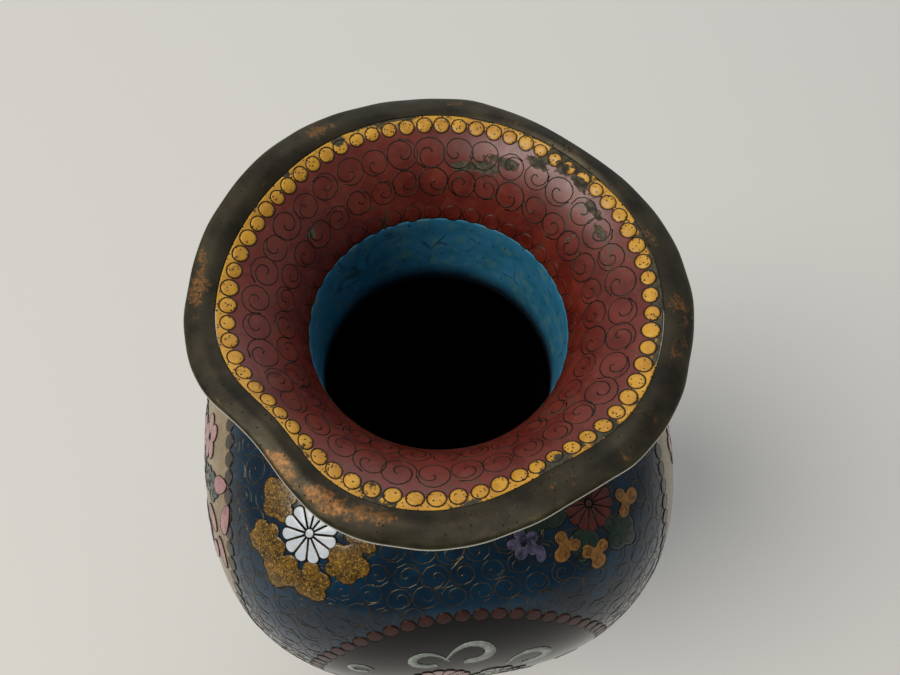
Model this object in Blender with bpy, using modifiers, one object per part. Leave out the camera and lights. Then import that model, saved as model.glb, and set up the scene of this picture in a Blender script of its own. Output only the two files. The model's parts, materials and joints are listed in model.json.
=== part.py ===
# Cloisonne vase: a raised copper body that carries wired enamel, with a brass rim and foot.
# It stands on z = 0 with its axis on Z and its black panel towards -Y. Lengths are metres.
# Azimuths are degrees, anticlockwise from +X seen from above.
import bpy
import bmesh
import math
from mathutils import Matrix, Vector

MM = 0.001

# Build-up of the wall, from the outer face inward.
ENAMEL = 0.8 * MM
COPPER = 1.2 * MM
GAP = 0.3 * MM
OUTER_ENAMEL = (0.0, ENAMEL)
METAL = (ENAMEL + GAP, ENAMEL + GAP + COPPER)
INNER_ENAMEL = (ENAMEL + COPPER + 2 * GAP, 2 * ENAMEL + COPPER + 2 * GAP)
WALL = INNER_ENAMEL[1]

# Mouth: a quarter round flare that starts upright at the neck.
FLARE_RADIUS = 20.2 * MM
FLARE_CENTRE_R = 47.9 * MM
FLARE_CENTRE_Z = 260.5 * MM
RIM_ANGLE = 81.4
BEAD_ANGLE = 70.0
RED_ANGLE = 9.0
RIM_OUTER_R = 51.5 * MM
RIM_EDGE_Z = 278.3 * MM
RIM_CROWN_Z = 280.8 * MM
RIM_CROWN_R = 46.6 * MM
RIM_FALL_R = 48.6 * MM
RIM_LIP_R = 50.4 * MM
RIM_OVERHANG = 0.85

# Body: a round shoulder over a long taper, seen as outer faces.
NECK_OUTER_R = 30.8 * MM
NECK_FOOT_Z = 245.5 * MM
THROAT_LIP_Z = 238.3 * MM
THROAT_LIP_ROUND = 0.4 * MM
SHOULDER_R = 22.0 * MM
WIDEST_R = 68.4 * MM
WIDEST_Z = 187.2 * MM
SHOULDER_RISE = 54.8 * MM
SHOULDER_POWER_R = 2.4
SHOULDER_POWER_Z = 2.2
SHOULDER_START = 11.4
TAPER_R = 39.0 * MM
TAPER_SPREAD = 0.33
BODY_FOOT_Z = 12.0 * MM
SQUARE_FULL_R = 56.0 * MM
SQUARE_FULL_Z = 110.0 * MM
SQUARE_TOP_Z = 240.0 * MM

# Foot ring and base.
FOOT_OUTER_R = 42.0 * MM
FOOT_WAIST_R = 40.8 * MM
FOOT_INNER_R = 37.6 * MM
FOOT_CHAMFER = 0.6 * MM
FOOT_FLARE_R = 41.3 * MM
FOOT_FLARE_Z = 3.0 * MM
FOOT_WAIST_Z = 7.0 * MM
FOOT_EDGE_Z = 1.2 * MM
LINING_RISE = 3.2 * MM
FOOT_HEIGHT = BODY_FOOT_Z - GAP
BASE_R = 39.1 * MM

# Borders and wires laid in the wall.
WIRE_WIDTH = 0.5 * MM
FOOT_BORDER_HEIGHT = 8.0 * MM
NECK_WIRE_LENGTH = 2.2 * MM
BEAD_BORDER_WIDTH = 3.7 * MM

# The body is softly four sided: a panel on each flat side, a flower on each corner.
FRONT_AZIMUTH = -81.5
SQUARENESS = 0.04
PANEL_CENTRE_Z = 185.0 * MM
PANEL_DROP = 115.0 * MM
PANELS = (("front", 0.0, 38.0 * MM, 41.0 * MM), ("right", 90.0, 46.0 * MM, 45.0 * MM),
          ("back", 180.0, 38.0 * MM, 41.0 * MM), ("left", 270.0, 46.0 * MM, 45.0 * MM))
PANEL_POWER_UP = 2.2
PANEL_POWER_DOWN = 1.5
PANEL_CUT_R = 60.0 * MM
PANEL_CUT_DEPTH = 32.0 * MM
FLOWERS = (("front_right", 41.8), ("back_right", 135.0), ("back_left", 225.0), ("front_left", 316.8))
FLOWER_CUT_Z = 233.0 * MM
FLOWER_CUT_HEIGHT = 26.0 * MM
FLOWER_RING_R = 48.0 * MM
FLOWER_R = 6.5 * MM

# The mouth is pinched up and in at four places. Each row gives the azimuth, the half width,
# the way in and up at the bead border, and the way in and up at the rim's edge.
PINCHES = ((53.5, 24.0, 1.7 * MM, 1.3 * MM, 5.0 * MM, 3.2 * MM),
           (150.0, 30.0, 2.4 * MM, 1.7 * MM, 3.3 * MM, 6.3 * MM),
           (225.5, 18.0, 3.2 * MM, 1.1 * MM, 4.7 * MM, 3.1 * MM),
           (301.0, 20.5, 2.0 * MM, 1.5 * MM, 1.6 * MM, 5.5 * MM))
PINCH_START_R = 29.5 * MM
PINCH_BEAD_R = 42.7 * MM
PINCH_LOW_Z = 250.0 * MM
PINCH_FULL_Z = 264.0 * MM

STEPS = 32
LINE_POINTS = 900
CHORD_SAG = 0.24 * MM
SHARP_ANGLE = math.radians(40)

# Base colour, metallic and roughness of each finish.
FINISHES = {
    "patinated_copper": ((0.20, 0.09, 0.045), 1.0, 0.45),
    "patinated_brass": ((0.075, 0.058, 0.036), 1.0, 0.42),
    "brass_wire": ((0.16, 0.11, 0.05), 1.0, 0.40),
    "red_enamel": ((0.155, 0.030, 0.023), 0.0, 0.30),
    "yellow_enamel": ((0.64, 0.32, 0.045), 0.0, 0.32),
    "turquoise_enamel": ((0.027, 0.155, 0.26), 0.0, 0.35),
    "blue_enamel": ((0.008, 0.035, 0.13), 0.0, 0.22),
    "black_enamel": ((0.004, 0.004, 0.006), 0.0, 0.20),
    "tan_enamel": ((0.34, 0.26, 0.15), 0.0, 0.28),
    "brown_enamel": ((0.10, 0.024, 0.020), 0.0, 0.30),
    "white_enamel": ((0.66, 0.72, 0.77), 0.0, 0.30),
    "oxblood_enamel": ((0.09, 0.012, 0.012), 0.0, 0.28),
}


def clear_scene():
    for item in list(bpy.data.objects):
        bpy.data.objects.remove(item, do_unlink=True)


def make_collection(name):
    collection = bpy.data.collections.new(name)
    bpy.context.scene.collection.children.link(collection)
    return collection


def make_materials():
    made = {}
    for name, (colour, metallic, roughness) in FINISHES.items():
        material = bpy.data.materials.new(name)
        material.use_nodes = True
        shader = material.node_tree.nodes["Principled BSDF"]
        shader.inputs["Base Color"].default_value = (*colour, 1.0)
        shader.inputs["Metallic"].default_value = metallic
        shader.inputs["Roughness"].default_value = roughness
        material.diffuse_color = (*colour, 1.0)
        made[name] = material
    return made


def smooth_ramp(value, low, high):
    t = min(max((value - low) / (high - low), 0.0), 1.0)
    return t * t * (3.0 - 2.0 * t)


# ---- the wall's outer line, from the rim down to the foot ----

def flare_point(angle, depth=0.0):
    """A point of the flare, by the angle turned up from the upright neck."""
    radius = FLARE_RADIUS - WALL + depth
    turn = math.radians(angle)
    return FLARE_CENTRE_R - radius * math.cos(turn), FLARE_CENTRE_Z + radius * math.sin(turn)


def shoulder_point(angle):
    turn = math.radians(angle)
    out = math.sin(turn) ** (2.0 / SHOULDER_POWER_R)
    up = max(math.cos(turn), 0.0) ** (2.0 / SHOULDER_POWER_Z)
    return SHOULDER_R + (WIDEST_R - SHOULDER_R) * out, WIDEST_Z + SHOULDER_RISE * up


def taper_point(z):
    t = (WIDEST_Z - z) / (WIDEST_Z - BODY_FOOT_Z)
    return TAPER_R + (WIDEST_R - TAPER_R) / (1.0 + (t / TAPER_SPREAD) ** 2), z


def neck_fillet(count):
    """The small hollow curve where the neck stands on the shoulder."""
    top = Vector((NECK_OUTER_R, NECK_FOOT_Z))
    end = Vector(shoulder_point(SHOULDER_START))
    after = Vector(shoulder_point(SHOULDER_START + 1.0))
    slope = (after.y - end.y) / (after.x - end.x)
    corner = Vector((top.x, end.y + slope * (top.x - end.x)))
    points = []
    for i in range(1, count):
        t = i / count
        points.append(tuple(top * (1 - t) ** 2 + corner * 2 * t * (1 - t) + end * t * t))
    return points


def outer_line():
    """Points of the outer face with the length along it, and the lengths at its landmarks."""
    n = LINE_POINTS // 4
    flare = [flare_point(RIM_ANGLE * (1 - i / n)) for i in range(n + 1)]
    neck = [(NECK_OUTER_R, NECK_FOOT_Z)]
    fillet = neck_fillet(n)
    shoulder = [shoulder_point(SHOULDER_START + (90.0 - SHOULDER_START) * i / n) for i in range(n + 1)]
    taper = [taper_point(WIDEST_Z + (BODY_FOOT_Z - WIDEST_Z) * i / n) for i in range(1, n + 1)]
    points, lengths, marks = [], [0.0], {"rim": 0.0}
    for mark, run in (("neck", flare), ("neck_foot", neck), ("shoulder", fillet),
                      ("widest", shoulder), ("foot", taper)):
        for point in run:
            if points:
                lengths.append(lengths[-1] + math.dist(point, points[-1]))
            points.append(point)
        marks[mark] = lengths[-1]
    return points, lengths, marks


LINE, LENGTHS, MARKS = outer_line()


def wall_point(length, depth):
    """A point at this length down the outer line, moved inward from it by the depth."""
    length = min(max(length, 0.0), LENGTHS[-1])
    low, high = 0, len(LENGTHS) - 1
    while high - low > 1:
        middle = (low + high) // 2
        if LENGTHS[middle] > length:
            high = middle
        else:
            low = middle
    a, b = Vector(LINE[low]), Vector(LINE[high])
    t = (length - LENGTHS[low]) / (LENGTHS[high] - LENGTHS[low])
    run = (b - a).normalized()
    outward = Vector((-run.y, run.x))
    point = a.lerp(b, t) - outward * depth
    return point.x, point.y


def chord_sag(start, end, depth):
    """How far the wall stands off the straight line between two lengths."""
    a, b = Vector(wall_point(start, depth)), Vector(wall_point(end, depth))
    run = (b - a).normalized()
    off = 0.0
    for i in range(1, 6):
        point = Vector(wall_point(start + (end - start) * i / 6, depth)) - a
        off = max(off, abs(run.x * point.y - run.y * point.x))
    return off


def shared_stops():
    """Lengths at which every layer has a ring of corners, so that thin layers stay nested."""
    stops = [0.0]
    step = 0.5 * MM
    while stops[-1] < LENGTHS[-1]:
        reach = stops[-1] + step
        while reach < LENGTHS[-1]:
            if max(chord_sag(stops[-1], reach + step, depth) for depth in (0.0, WALL)) > CHORD_SAG:
                break
            reach += step
        stops.append(min(reach, LENGTHS[-1]))
    return stops


STOPS = shared_stops()


# ---- the soft square and the pinched mouth, as one smooth move of space ----

def shaped(point):
    x, y, z = point
    radius = math.hypot(x, y)
    azimuth = math.degrees(math.atan2(y, x))
    rise = 0.0
    square = SQUARENESS * smooth_ramp(radius, PINCH_START_R, SQUARE_FULL_R)
    square *= smooth_ramp(z, BODY_FOOT_Z, SQUARE_FULL_Z) * (1.0 - smooth_ramp(z, SQUARE_TOP_Z, PINCH_LOW_Z))
    new_radius = radius * (1.0 - square * math.cos(math.radians(4.0 * (azimuth - FRONT_AZIMUTH))))
    reach = (radius - PINCH_START_R) / (RIM_OUTER_R - PINCH_START_R)
    if z > PINCH_LOW_Z and reach > 0.0:
        bead = (PINCH_BEAD_R - PINCH_START_R) / (RIM_OUTER_R - PINCH_START_R)
        for centre, width, in_bead, up_bead, in_edge, up_edge in PINCHES:
            away = (azimuth - centre + 180.0) % 360.0 - 180.0
            strength = math.exp(-(away / width) ** 2) * smooth_ramp(z, PINCH_LOW_Z, PINCH_FULL_Z)
            moves = []
            for at_bead, at_edge in ((in_bead, in_edge), (up_bead, up_edge)):
                square_part = (at_bead - at_edge * bead ** 3) / (bead ** 2 - bead ** 3)
                moves.append(square_part * reach ** 2 + (at_edge - square_part) * reach ** 3)
            new_radius -= strength * moves[0]
            rise += strength * moves[1]
    scale = new_radius / radius if radius > 1e-9 else 1.0
    return Vector((x * scale, y * scale, z + rise))


# ---- making pieces ----

def make_object(name, mesh, collection, material):
    item = bpy.data.objects.new(name, mesh)
    collection.objects.link(item)
    mesh.materials.clear()
    mesh.materials.append(material)
    return item


def real_mesh(item):
    """The evaluated mesh of an object, and the object itself removed."""
    graph = bpy.context.evaluated_depsgraph_get()
    mesh = bpy.data.meshes.new_from_object(item.evaluated_get(graph))
    mesh.transform(item.matrix_world)
    bpy.data.objects.remove(item, do_unlink=True)
    work = bmesh.new()
    work.from_mesh(mesh)
    bmesh.ops.remove_doubles(work, verts=work.verts, dist=0.00001)
    work.to_mesh(mesh)
    work.free()
    return mesh


def finish_shading(mesh):
    mesh.shade_smooth()
    mesh.set_sharp_from_angle(angle=SHARP_ANGLE)


def turned(name, profile, collection, material, bend=True):
    """A ring turned from a closed profile that runs down its outer side first."""
    mesh = bpy.data.meshes.new(name)
    count = len(profile)
    mesh.from_pydata([(r, 0.0, z) for r, z in profile], [(i, (i + 1) % count) for i in range(count)], [])
    guide = bpy.data.objects.new(name, mesh)
    collection.objects.link(guide)
    screw = guide.modifiers.new("turn", "SCREW")
    screw.steps = STEPS
    screw.render_steps = STEPS
    screw.use_merge_vertices = True
    screw.merge_threshold = 0.00001
    mesh = real_mesh(guide)
    if bend:
        for vertex in mesh.vertices:
            vertex.co = shaped(vertex.co)
    finish_shading(mesh)
    return make_object(name, mesh, collection, material)


def shell(name, start, end, depths, collection, material):
    """A layer of the wall between two lengths down the outer line."""
    outer, inner = depths
    near = 0.4 * MM
    stops = [start] + [stop for stop in STOPS if start + near < stop < end - near] + [end]
    profile = [wall_point(stop, outer) for stop in stops]
    profile += [wall_point(stop, inner) for stop in reversed(stops)]
    return turned(name, profile, collection, material)


def disc(name, radius, low, thickness, collection, material):
    bpy.ops.mesh.primitive_cylinder_add(vertices=STEPS, radius=radius, depth=thickness,
                                        location=(0, 0, low + thickness / 2))
    item = bpy.context.object
    for old in list(item.users_collection):
        old.objects.unlink(item)
    collection.objects.link(item)
    item.name = name
    item.data.name = name
    item.data.materials.append(material)
    return item


def hide_cutter(item):
    item.hide_render = True
    item.display_type = "WIRE"
    return item


def outline_cutter(name, half_width, rise, grow, turn, cutters, material):
    """A prism of a panel's outline, standing across the wall on one side of the body."""
    count = 28
    points = []
    for i in range(count):
        angle = 2 * math.pi * i / count
        c, s = math.cos(angle), math.sin(angle)
        height, power = (rise, PANEL_POWER_UP) if s >= 0 else (PANEL_DROP, PANEL_POWER_DOWN)
        side = abs(c) ** (2 / power) * (half_width + grow)
        up = abs(s) ** (2 / power) * (height + grow)
        points.append((math.copysign(side, c), math.copysign(up, s)))
    curve = bpy.data.curves.new(name, "CURVE")
    curve.dimensions = "2D"
    curve.fill_mode = "BOTH"
    curve.extrude = PANEL_CUT_DEPTH
    spline = curve.splines.new("POLY")
    spline.points.add(count - 1)
    for target, (x, y) in zip(spline.points, points):
        target.co = (x, y, 0.0, 1.0)
    spline.use_cyclic_u = True
    guide = bpy.data.objects.new(name, curve)
    cutters.objects.link(guide)
    upright = Matrix.Rotation(math.radians(FRONT_AZIMUTH + 90.0 + turn), 4, "Z")
    upright @= Matrix.Translation((0.0, -PANEL_CUT_R, PANEL_CENTRE_Z))
    guide.matrix_world = upright @ Matrix.Rotation(math.radians(90.0), 4, "X")
    bpy.context.view_layer.update()
    return hide_cutter(make_object(name, real_mesh(guide), cutters, material))


def flower_cutter(name, turn, radius, cutters):
    azimuth = math.radians(FRONT_AZIMUTH + turn)
    bpy.ops.mesh.primitive_cylinder_add(
        vertices=16, radius=radius, depth=FLOWER_CUT_HEIGHT,
        location=(FLOWER_RING_R * math.cos(azimuth), FLOWER_RING_R * math.sin(azimuth), FLOWER_CUT_Z))
    item = bpy.context.object
    for old in list(item.users_collection):
        old.objects.unlink(item)
    cutters.objects.link(item)
    item.name = name
    return hide_cutter(item)


def cut(item, cutter, operation="DIFFERENCE"):
    step = item.modifiers.new(cutter.name, "BOOLEAN")
    step.operation = operation
    step.object = cutter
    step.solver = "EXACT"


def make_metal(vase, materials):
    copper, brass = materials["patinated_copper"], materials["patinated_brass"]
    half = GAP / 2
    throat = MARKS["neck"] - 4.0 * MM
    shell("copper_mouth_flare", GAP, throat - half, METAL, vase, copper)
    shell("copper_neck", throat + half, MARKS["shoulder"] + half, METAL, vase, copper)
    shell("copper_body_upper", MARKS["shoulder"] + 3 * half, MARKS["widest"] - half, METAL, vase, copper)
    shell("copper_body_lower", MARKS["widest"] + half, MARKS["foot"], METAL, vase, copper)
    disc("base_disc", BASE_R, BODY_FOOT_Z + GAP, COPPER, vase, copper)

    # The rim band: crowned on top, rounded at the edge and flush with both enamels.
    start = RIM_ANGLE + RIM_OVERHANG
    top_r, top_z = flare_point(start, WALL + 0.1 * MM)
    low_r, low_z = flare_point(start, 0.0)
    edge = RIM_OUTER_R
    band = [(top_r, top_z), (RIM_CROWN_R, RIM_CROWN_Z), (RIM_FALL_R, RIM_CROWN_Z - 0.4 * MM),
            (RIM_LIP_R, RIM_EDGE_Z + 1.2 * MM), (edge - 0.3 * MM, RIM_EDGE_Z + 0.6 * MM),
            (edge, RIM_EDGE_Z), (edge - 0.3 * MM, RIM_EDGE_Z - 0.7 * MM), (RIM_LIP_R, RIM_EDGE_Z - 1.1 * MM),
            (RIM_FALL_R, RIM_EDGE_Z - 1.0 * MM), (low_r, low_z)]
    turned("rim_band", band, vase, brass)

    foot = [(FOOT_WAIST_R, FOOT_HEIGHT), (FOOT_WAIST_R, FOOT_WAIST_Z), (FOOT_FLARE_R, FOOT_FLARE_Z),
            (FOOT_OUTER_R, FOOT_EDGE_Z), (FOOT_OUTER_R - FOOT_CHAMFER, 0.0),
            (FOOT_INNER_R + FOOT_CHAMFER, 0.0), (FOOT_INNER_R, FOOT_CHAMFER), (FOOT_INNER_R, FOOT_HEIGHT)]
    turned("foot_ring", foot, vase, brass, bend=False)


def throat_profile(start):
    """The neck's lining: it lies on the wall, but its inner face runs straight down to a lip."""
    outer, inner = INNER_ENAMEL
    stops = [start] + [stop for stop in STOPS if start + WIRE_WIDTH < stop < MARKS["neck_foot"]]
    end = MARKS["shoulder"]
    fillet = [stop for stop in STOPS if MARKS["neck_foot"] <= stop < end - WIRE_WIDTH]
    profile = [wall_point(stop, outer) for stop in stops + fillet + [end]]
    throat = NECK_OUTER_R - inner
    profile += [wall_point(end, inner), (throat + THROAT_LIP_ROUND, THROAT_LIP_Z - THROAT_LIP_ROUND),
                (throat, THROAT_LIP_Z)]
    return profile + [wall_point(stop, inner) for stop in reversed(stops)]


def make_linings(vase, materials):
    arc = (FLARE_RADIUS - WALL) * math.radians(1.0)
    bead_end = (RIM_ANGLE - BEAD_ANGLE) * arc
    red_end = (RIM_ANGLE - RED_ANGLE) * arc
    wire = WIRE_WIDTH * (FLARE_RADIUS - WALL) / FLARE_RADIUS
    gap = GAP
    metal = materials["brass_wire"]
    shell("mouth_edge_wire", gap, gap + wire, INNER_ENAMEL, vase, metal)
    shell("mouth_bead_border", 2 * gap + wire, bead_end - gap, INNER_ENAMEL, vase,
          materials["yellow_enamel"])
    shell("mouth_inner_wire", bead_end, bead_end + wire, INNER_ENAMEL, vase, metal)
    shell("mouth_red_enamel", bead_end + wire + gap, red_end - gap / 2, INNER_ENAMEL, vase,
          materials["red_enamel"])
    lining = materials["turquoise_enamel"]
    turned("neck_lining_enamel", throat_profile(red_end + gap / 2), vase, lining)
    shell("body_lining_enamel", MARKS["shoulder"] + gap, MARKS["foot"] - LINING_RISE, INNER_ENAMEL, vase,
          lining)
    floor = BODY_FOOT_Z + 2 * GAP + COPPER
    disc("floor_lining_enamel", BASE_R - 0.3 * MM, floor, ENAMEL, vase, lining)
    disc("base_counter_enamel", FOOT_INNER_R - 2 * GAP, BODY_FOOT_Z - ENAMEL, ENAMEL, vase, lining)


def make_outer_enamel(vase, cutters, materials):
    gap = GAP
    wire_start = MARKS["shoulder"] + NECK_WIRE_LENGTH
    border_start = MARKS["foot"] - FOOT_BORDER_HEIGHT
    skin_start = wire_start + WIRE_WIDTH + gap
    skin_end = border_start - WIRE_WIDTH - gap
    brass = materials["brass_wire"]
    shell("flare_underside_enamel", gap, wire_start - gap, OUTER_ENAMEL, vase, materials["blue_enamel"])
    shell("neck_base_wire", wire_start, wire_start + WIRE_WIDTH, OUTER_ENAMEL, vase, brass)
    shell("foot_border_wire", skin_end + gap, border_start, OUTER_ENAMEL, vase, brass)
    shell("foot_border_enamel", border_start + gap, MARKS["foot"], OUTER_ENAMEL, vase,
          materials["brown_enamel"])

    def skin(name, material):
        return shell(name, skin_start, skin_end, OUTER_ENAMEL, vase, materials[material])

    ground = skin("body_ground_enamel", "blue_enamel")
    half = BEAD_BORDER_WIDTH / 2
    for side, turn, half_width, rise in PANELS:
        def cutter(role, grow):
            return outline_cutter(role + side, half_width, rise, grow, turn, cutters, brass)

        window = cutter("cut_ground_", half + gap)
        outside = cutter("cut_border_", half)
        inside = cutter("cut_inside_", -half)
        middle = cutter("cut_panel_", -half - gap)
        cut(ground, window)
        border = skin("bead_border_" + side, "brown_enamel")
        cut(border, outside, "INTERSECT")
        cut(border, inside)
        colour = "black_enamel" if side in ("front", "back") else "tan_enamel"
        cut(skin("panel_" + side, colour), middle, "INTERSECT")
    for corner, turn in FLOWERS:
        colour = "white_enamel" if corner in ("front_left", "back_right") else "oxblood_enamel"
        flower = skin("flower_" + corner, colour)
        cut(flower, flower_cutter("cut_flower_" + corner, turn, FLOWER_R, cutters), "INTERSECT")
        cut(ground, flower_cutter("cut_bed_" + corner, turn, FLOWER_R + gap, cutters))


def main():
    clear_scene()
    materials = make_materials()
    vase = make_collection("cloisonne_vase")
    cutters = make_collection("cutters")
    make_metal(vase, materials)
    make_linings(vase, materials)
    make_outer_enamel(vase, cutters, materials)


main()
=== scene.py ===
# Cloisonne vase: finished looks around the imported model.
import bpy
import json
import math
import numpy as np
from mathutils import Matrix, Vector

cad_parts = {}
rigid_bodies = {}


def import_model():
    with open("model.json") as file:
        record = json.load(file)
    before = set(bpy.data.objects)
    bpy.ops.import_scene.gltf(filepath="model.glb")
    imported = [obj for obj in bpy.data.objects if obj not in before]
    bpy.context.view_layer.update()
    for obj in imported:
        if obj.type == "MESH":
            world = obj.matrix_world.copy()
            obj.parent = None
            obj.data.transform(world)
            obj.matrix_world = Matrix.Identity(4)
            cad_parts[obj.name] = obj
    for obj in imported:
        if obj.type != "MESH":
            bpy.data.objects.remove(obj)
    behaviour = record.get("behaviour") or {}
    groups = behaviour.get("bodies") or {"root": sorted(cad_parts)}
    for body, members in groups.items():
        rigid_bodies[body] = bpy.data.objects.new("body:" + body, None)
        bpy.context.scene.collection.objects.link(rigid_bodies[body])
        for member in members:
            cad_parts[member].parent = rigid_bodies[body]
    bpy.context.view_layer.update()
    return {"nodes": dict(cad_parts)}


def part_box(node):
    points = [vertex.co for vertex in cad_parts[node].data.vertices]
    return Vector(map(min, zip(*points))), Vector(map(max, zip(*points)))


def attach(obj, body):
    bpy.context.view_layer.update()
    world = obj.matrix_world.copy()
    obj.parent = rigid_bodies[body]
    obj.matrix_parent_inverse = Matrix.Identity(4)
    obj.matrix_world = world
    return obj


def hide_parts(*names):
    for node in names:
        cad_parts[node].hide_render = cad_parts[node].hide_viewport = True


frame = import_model()
print("frame loaded")

mm = 0.001
bpy.context.scene.view_settings.view_transform = "Standard"


def linear(hexColour):
    # sRGB hex to the linear colour that a shader takes
    parts = [int(hexColour[i:i + 2], 16) / 255 for i in (1, 3, 5)]
    return tuple(p / 12.92 if p <= 0.04045 else ((p + 0.055) / 1.055) ** 2.4 for p in parts) + (1.0,)


def addNode(tree, kind, inputs=None, **settings):
    # one node with its settings; an input is a value or another node's output
    node = tree.nodes.new(kind)
    for key, value in settings.items():
        setattr(node, key, value)
    for key, value in (inputs or {}).items():
        if isinstance(value, bpy.types.NodeSocket):
            tree.links.new(value, node.inputs[key])
        else:
            node.inputs[key].default_value = value
    return node


def calc(tree, first, second, operation="ADD", clamp=False):
    # one maths node
    return addNode(tree, "ShaderNodeMath", {0: first, 1: second}, operation=operation,
                   use_clamp=clamp).outputs[0]


# camera and light

viewPoint = {
    "place": Vector((2.5, -83.0, 429.6)) * mm,
    "right": Vector((0.99907, 0.03874, 0.01889)),
    "up": Vector((-0.0431, 0.89795, 0.43796)),
    "lens": 34.0,
    "sensor": 36.0,
    "clipStart": 5 * mm,
}


def makeCamera(look):
    data = bpy.data.cameras.new("camera")
    camera = bpy.data.objects.new("camera", data)
    bpy.context.scene.collection.objects.link(camera)
    data.lens = look["lens"]
    data.sensor_width = look["sensor"]
    data.clip_start = look["clipStart"]
    right, up = look["right"].normalized(), look["up"].normalized()
    back = right.cross(up)
    turn = Matrix((right, up, back)).transposed().to_4x4()
    camera.matrix_world = Matrix.Translation(look["place"]) @ turn
    bpy.context.scene.camera = camera


studio = {
    "floorSize": 6.0,
    "floorColour": "#E2E1DC",
    "floorRough": 0.6,
    "worldColour": "#F4F6F8",
    # how bright the room is in front of the vase and behind it
    "worldFront": 0.1, "worldBack": 0.6, "worldFrom": -0.8,
    "lamps": (
        # name, place, aims at, width, power, colour
        ("overhead", (-1.25, -0.55, 2.3), (0.0, 0.0, 0.2), 1.4, 41.0, "#FFFAF2"),
        ("window", (0.2, 1.6, 1.7), (0.0, 0.0, 0.2), 1.6, 6.0, "#F8FAFF"),
    ),
}


def makeStudio(look):
    scene = bpy.context.scene
    world = bpy.data.worlds.new("studio")
    scene.world = world
    world.use_nodes = True
    background = world.node_tree.nodes["Background"]
    background.inputs["Color"].default_value = linear(look["worldColour"])
    way = addNode(world.node_tree, "ShaderNodeTexCoord").outputs["Generated"]
    way = addNode(world.node_tree, "ShaderNodeSeparateXYZ", {0: way}).outputs["Y"]
    strength = addNode(world.node_tree, "ShaderNodeMapRange", {
        "Value": way, "From Min": look["worldFrom"], "To Min": look["worldFront"],
        "To Max": look["worldBack"]})
    world.node_tree.links.new(strength.outputs["Result"], background.inputs["Strength"])
    for name, place, target, width, power, colour in look["lamps"]:
        lamp = bpy.data.lights.new(name, "AREA")
        lamp.shape = "DISK"
        lamp.size = width
        lamp.energy = power
        lamp.color = linear(colour)[:3]
        item = bpy.data.objects.new(name, lamp)
        scene.collection.objects.link(item)
        item.location = place
        item.rotation_euler = (Vector(target) - Vector(place)).to_track_quat("-Z", "Y").to_euler()
    bpy.ops.mesh.primitive_plane_add(size=look["floorSize"])
    floor = bpy.context.object
    floor.name = "floor"
    paint = bpy.data.materials.new("matteWhitePaint")
    paint.use_nodes = True
    shader = paint.node_tree.nodes["Principled BSDF"]
    shader.inputs["Base Color"].default_value = linear(look["floorColour"])
    shader.inputs["Roughness"].default_value = look["floorRough"]
    floor.data.materials.append(paint)


makeCamera(viewPoint)
makeStudio(studio)
print("camera and studio made")


# the wall: the vase's outer line and the layers in from it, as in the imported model

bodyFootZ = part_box("copper_body_lower")[0].z
widestZ = (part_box("copper_body_lower")[1].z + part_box("copper_body_upper")[0].z) / 2

wallShape = {
    "stops": 240,
    "thick": 3.4 * mm,
    "enamel": 0.8 * mm,
    "flareRadius": 20.2 * mm,
    "flareCentre": (47.9 * mm, 260.5 * mm),
    "rimAngle": 81.4,
    "neckR": 30.8 * mm,
    "neckFootZ": 245.5 * mm,
    "shoulderR": 22.0 * mm,
    "widestR": 68.4 * mm,
    "shoulderRise": 54.8 * mm,
    "shoulderPowers": (2.4, 2.2),
    "shoulderStart": 11.4,
    "taperR": 39.0 * mm,
    "taperSpread": 0.33,
    "frontAzimuth": -81.5,
    # the body turns square beyond this radius and between these heights
    "squareness": 0.04, "squareR": 56 * mm, "squareLowZ": 110 * mm, "squareHighZ": 240 * mm,
}

# azimuth, half width, in and up at the bead border, in and up at the rim's edge
pinches = ((53.5, 24.0, 1.7, 1.3, 5.0, 3.2), (150.0, 30.0, 2.4, 1.7, 3.3, 6.3),
           (225.5, 18.0, 3.2, 1.1, 4.7, 3.1), (301.0, 20.5, 2.0, 1.5, 1.6, 5.5))
pinchReach = {"startR": 29.5 * mm, "beadR": 42.7 * mm, "edgeR": 51.5 * mm,
              "lowZ": 250.0 * mm, "fullZ": 264.0 * mm}


def ramp(value, low, high):
    t = np.clip((value - low) / (high - low), 0.0, 1.0)
    return t * t * (3 - 2 * t)


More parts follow.
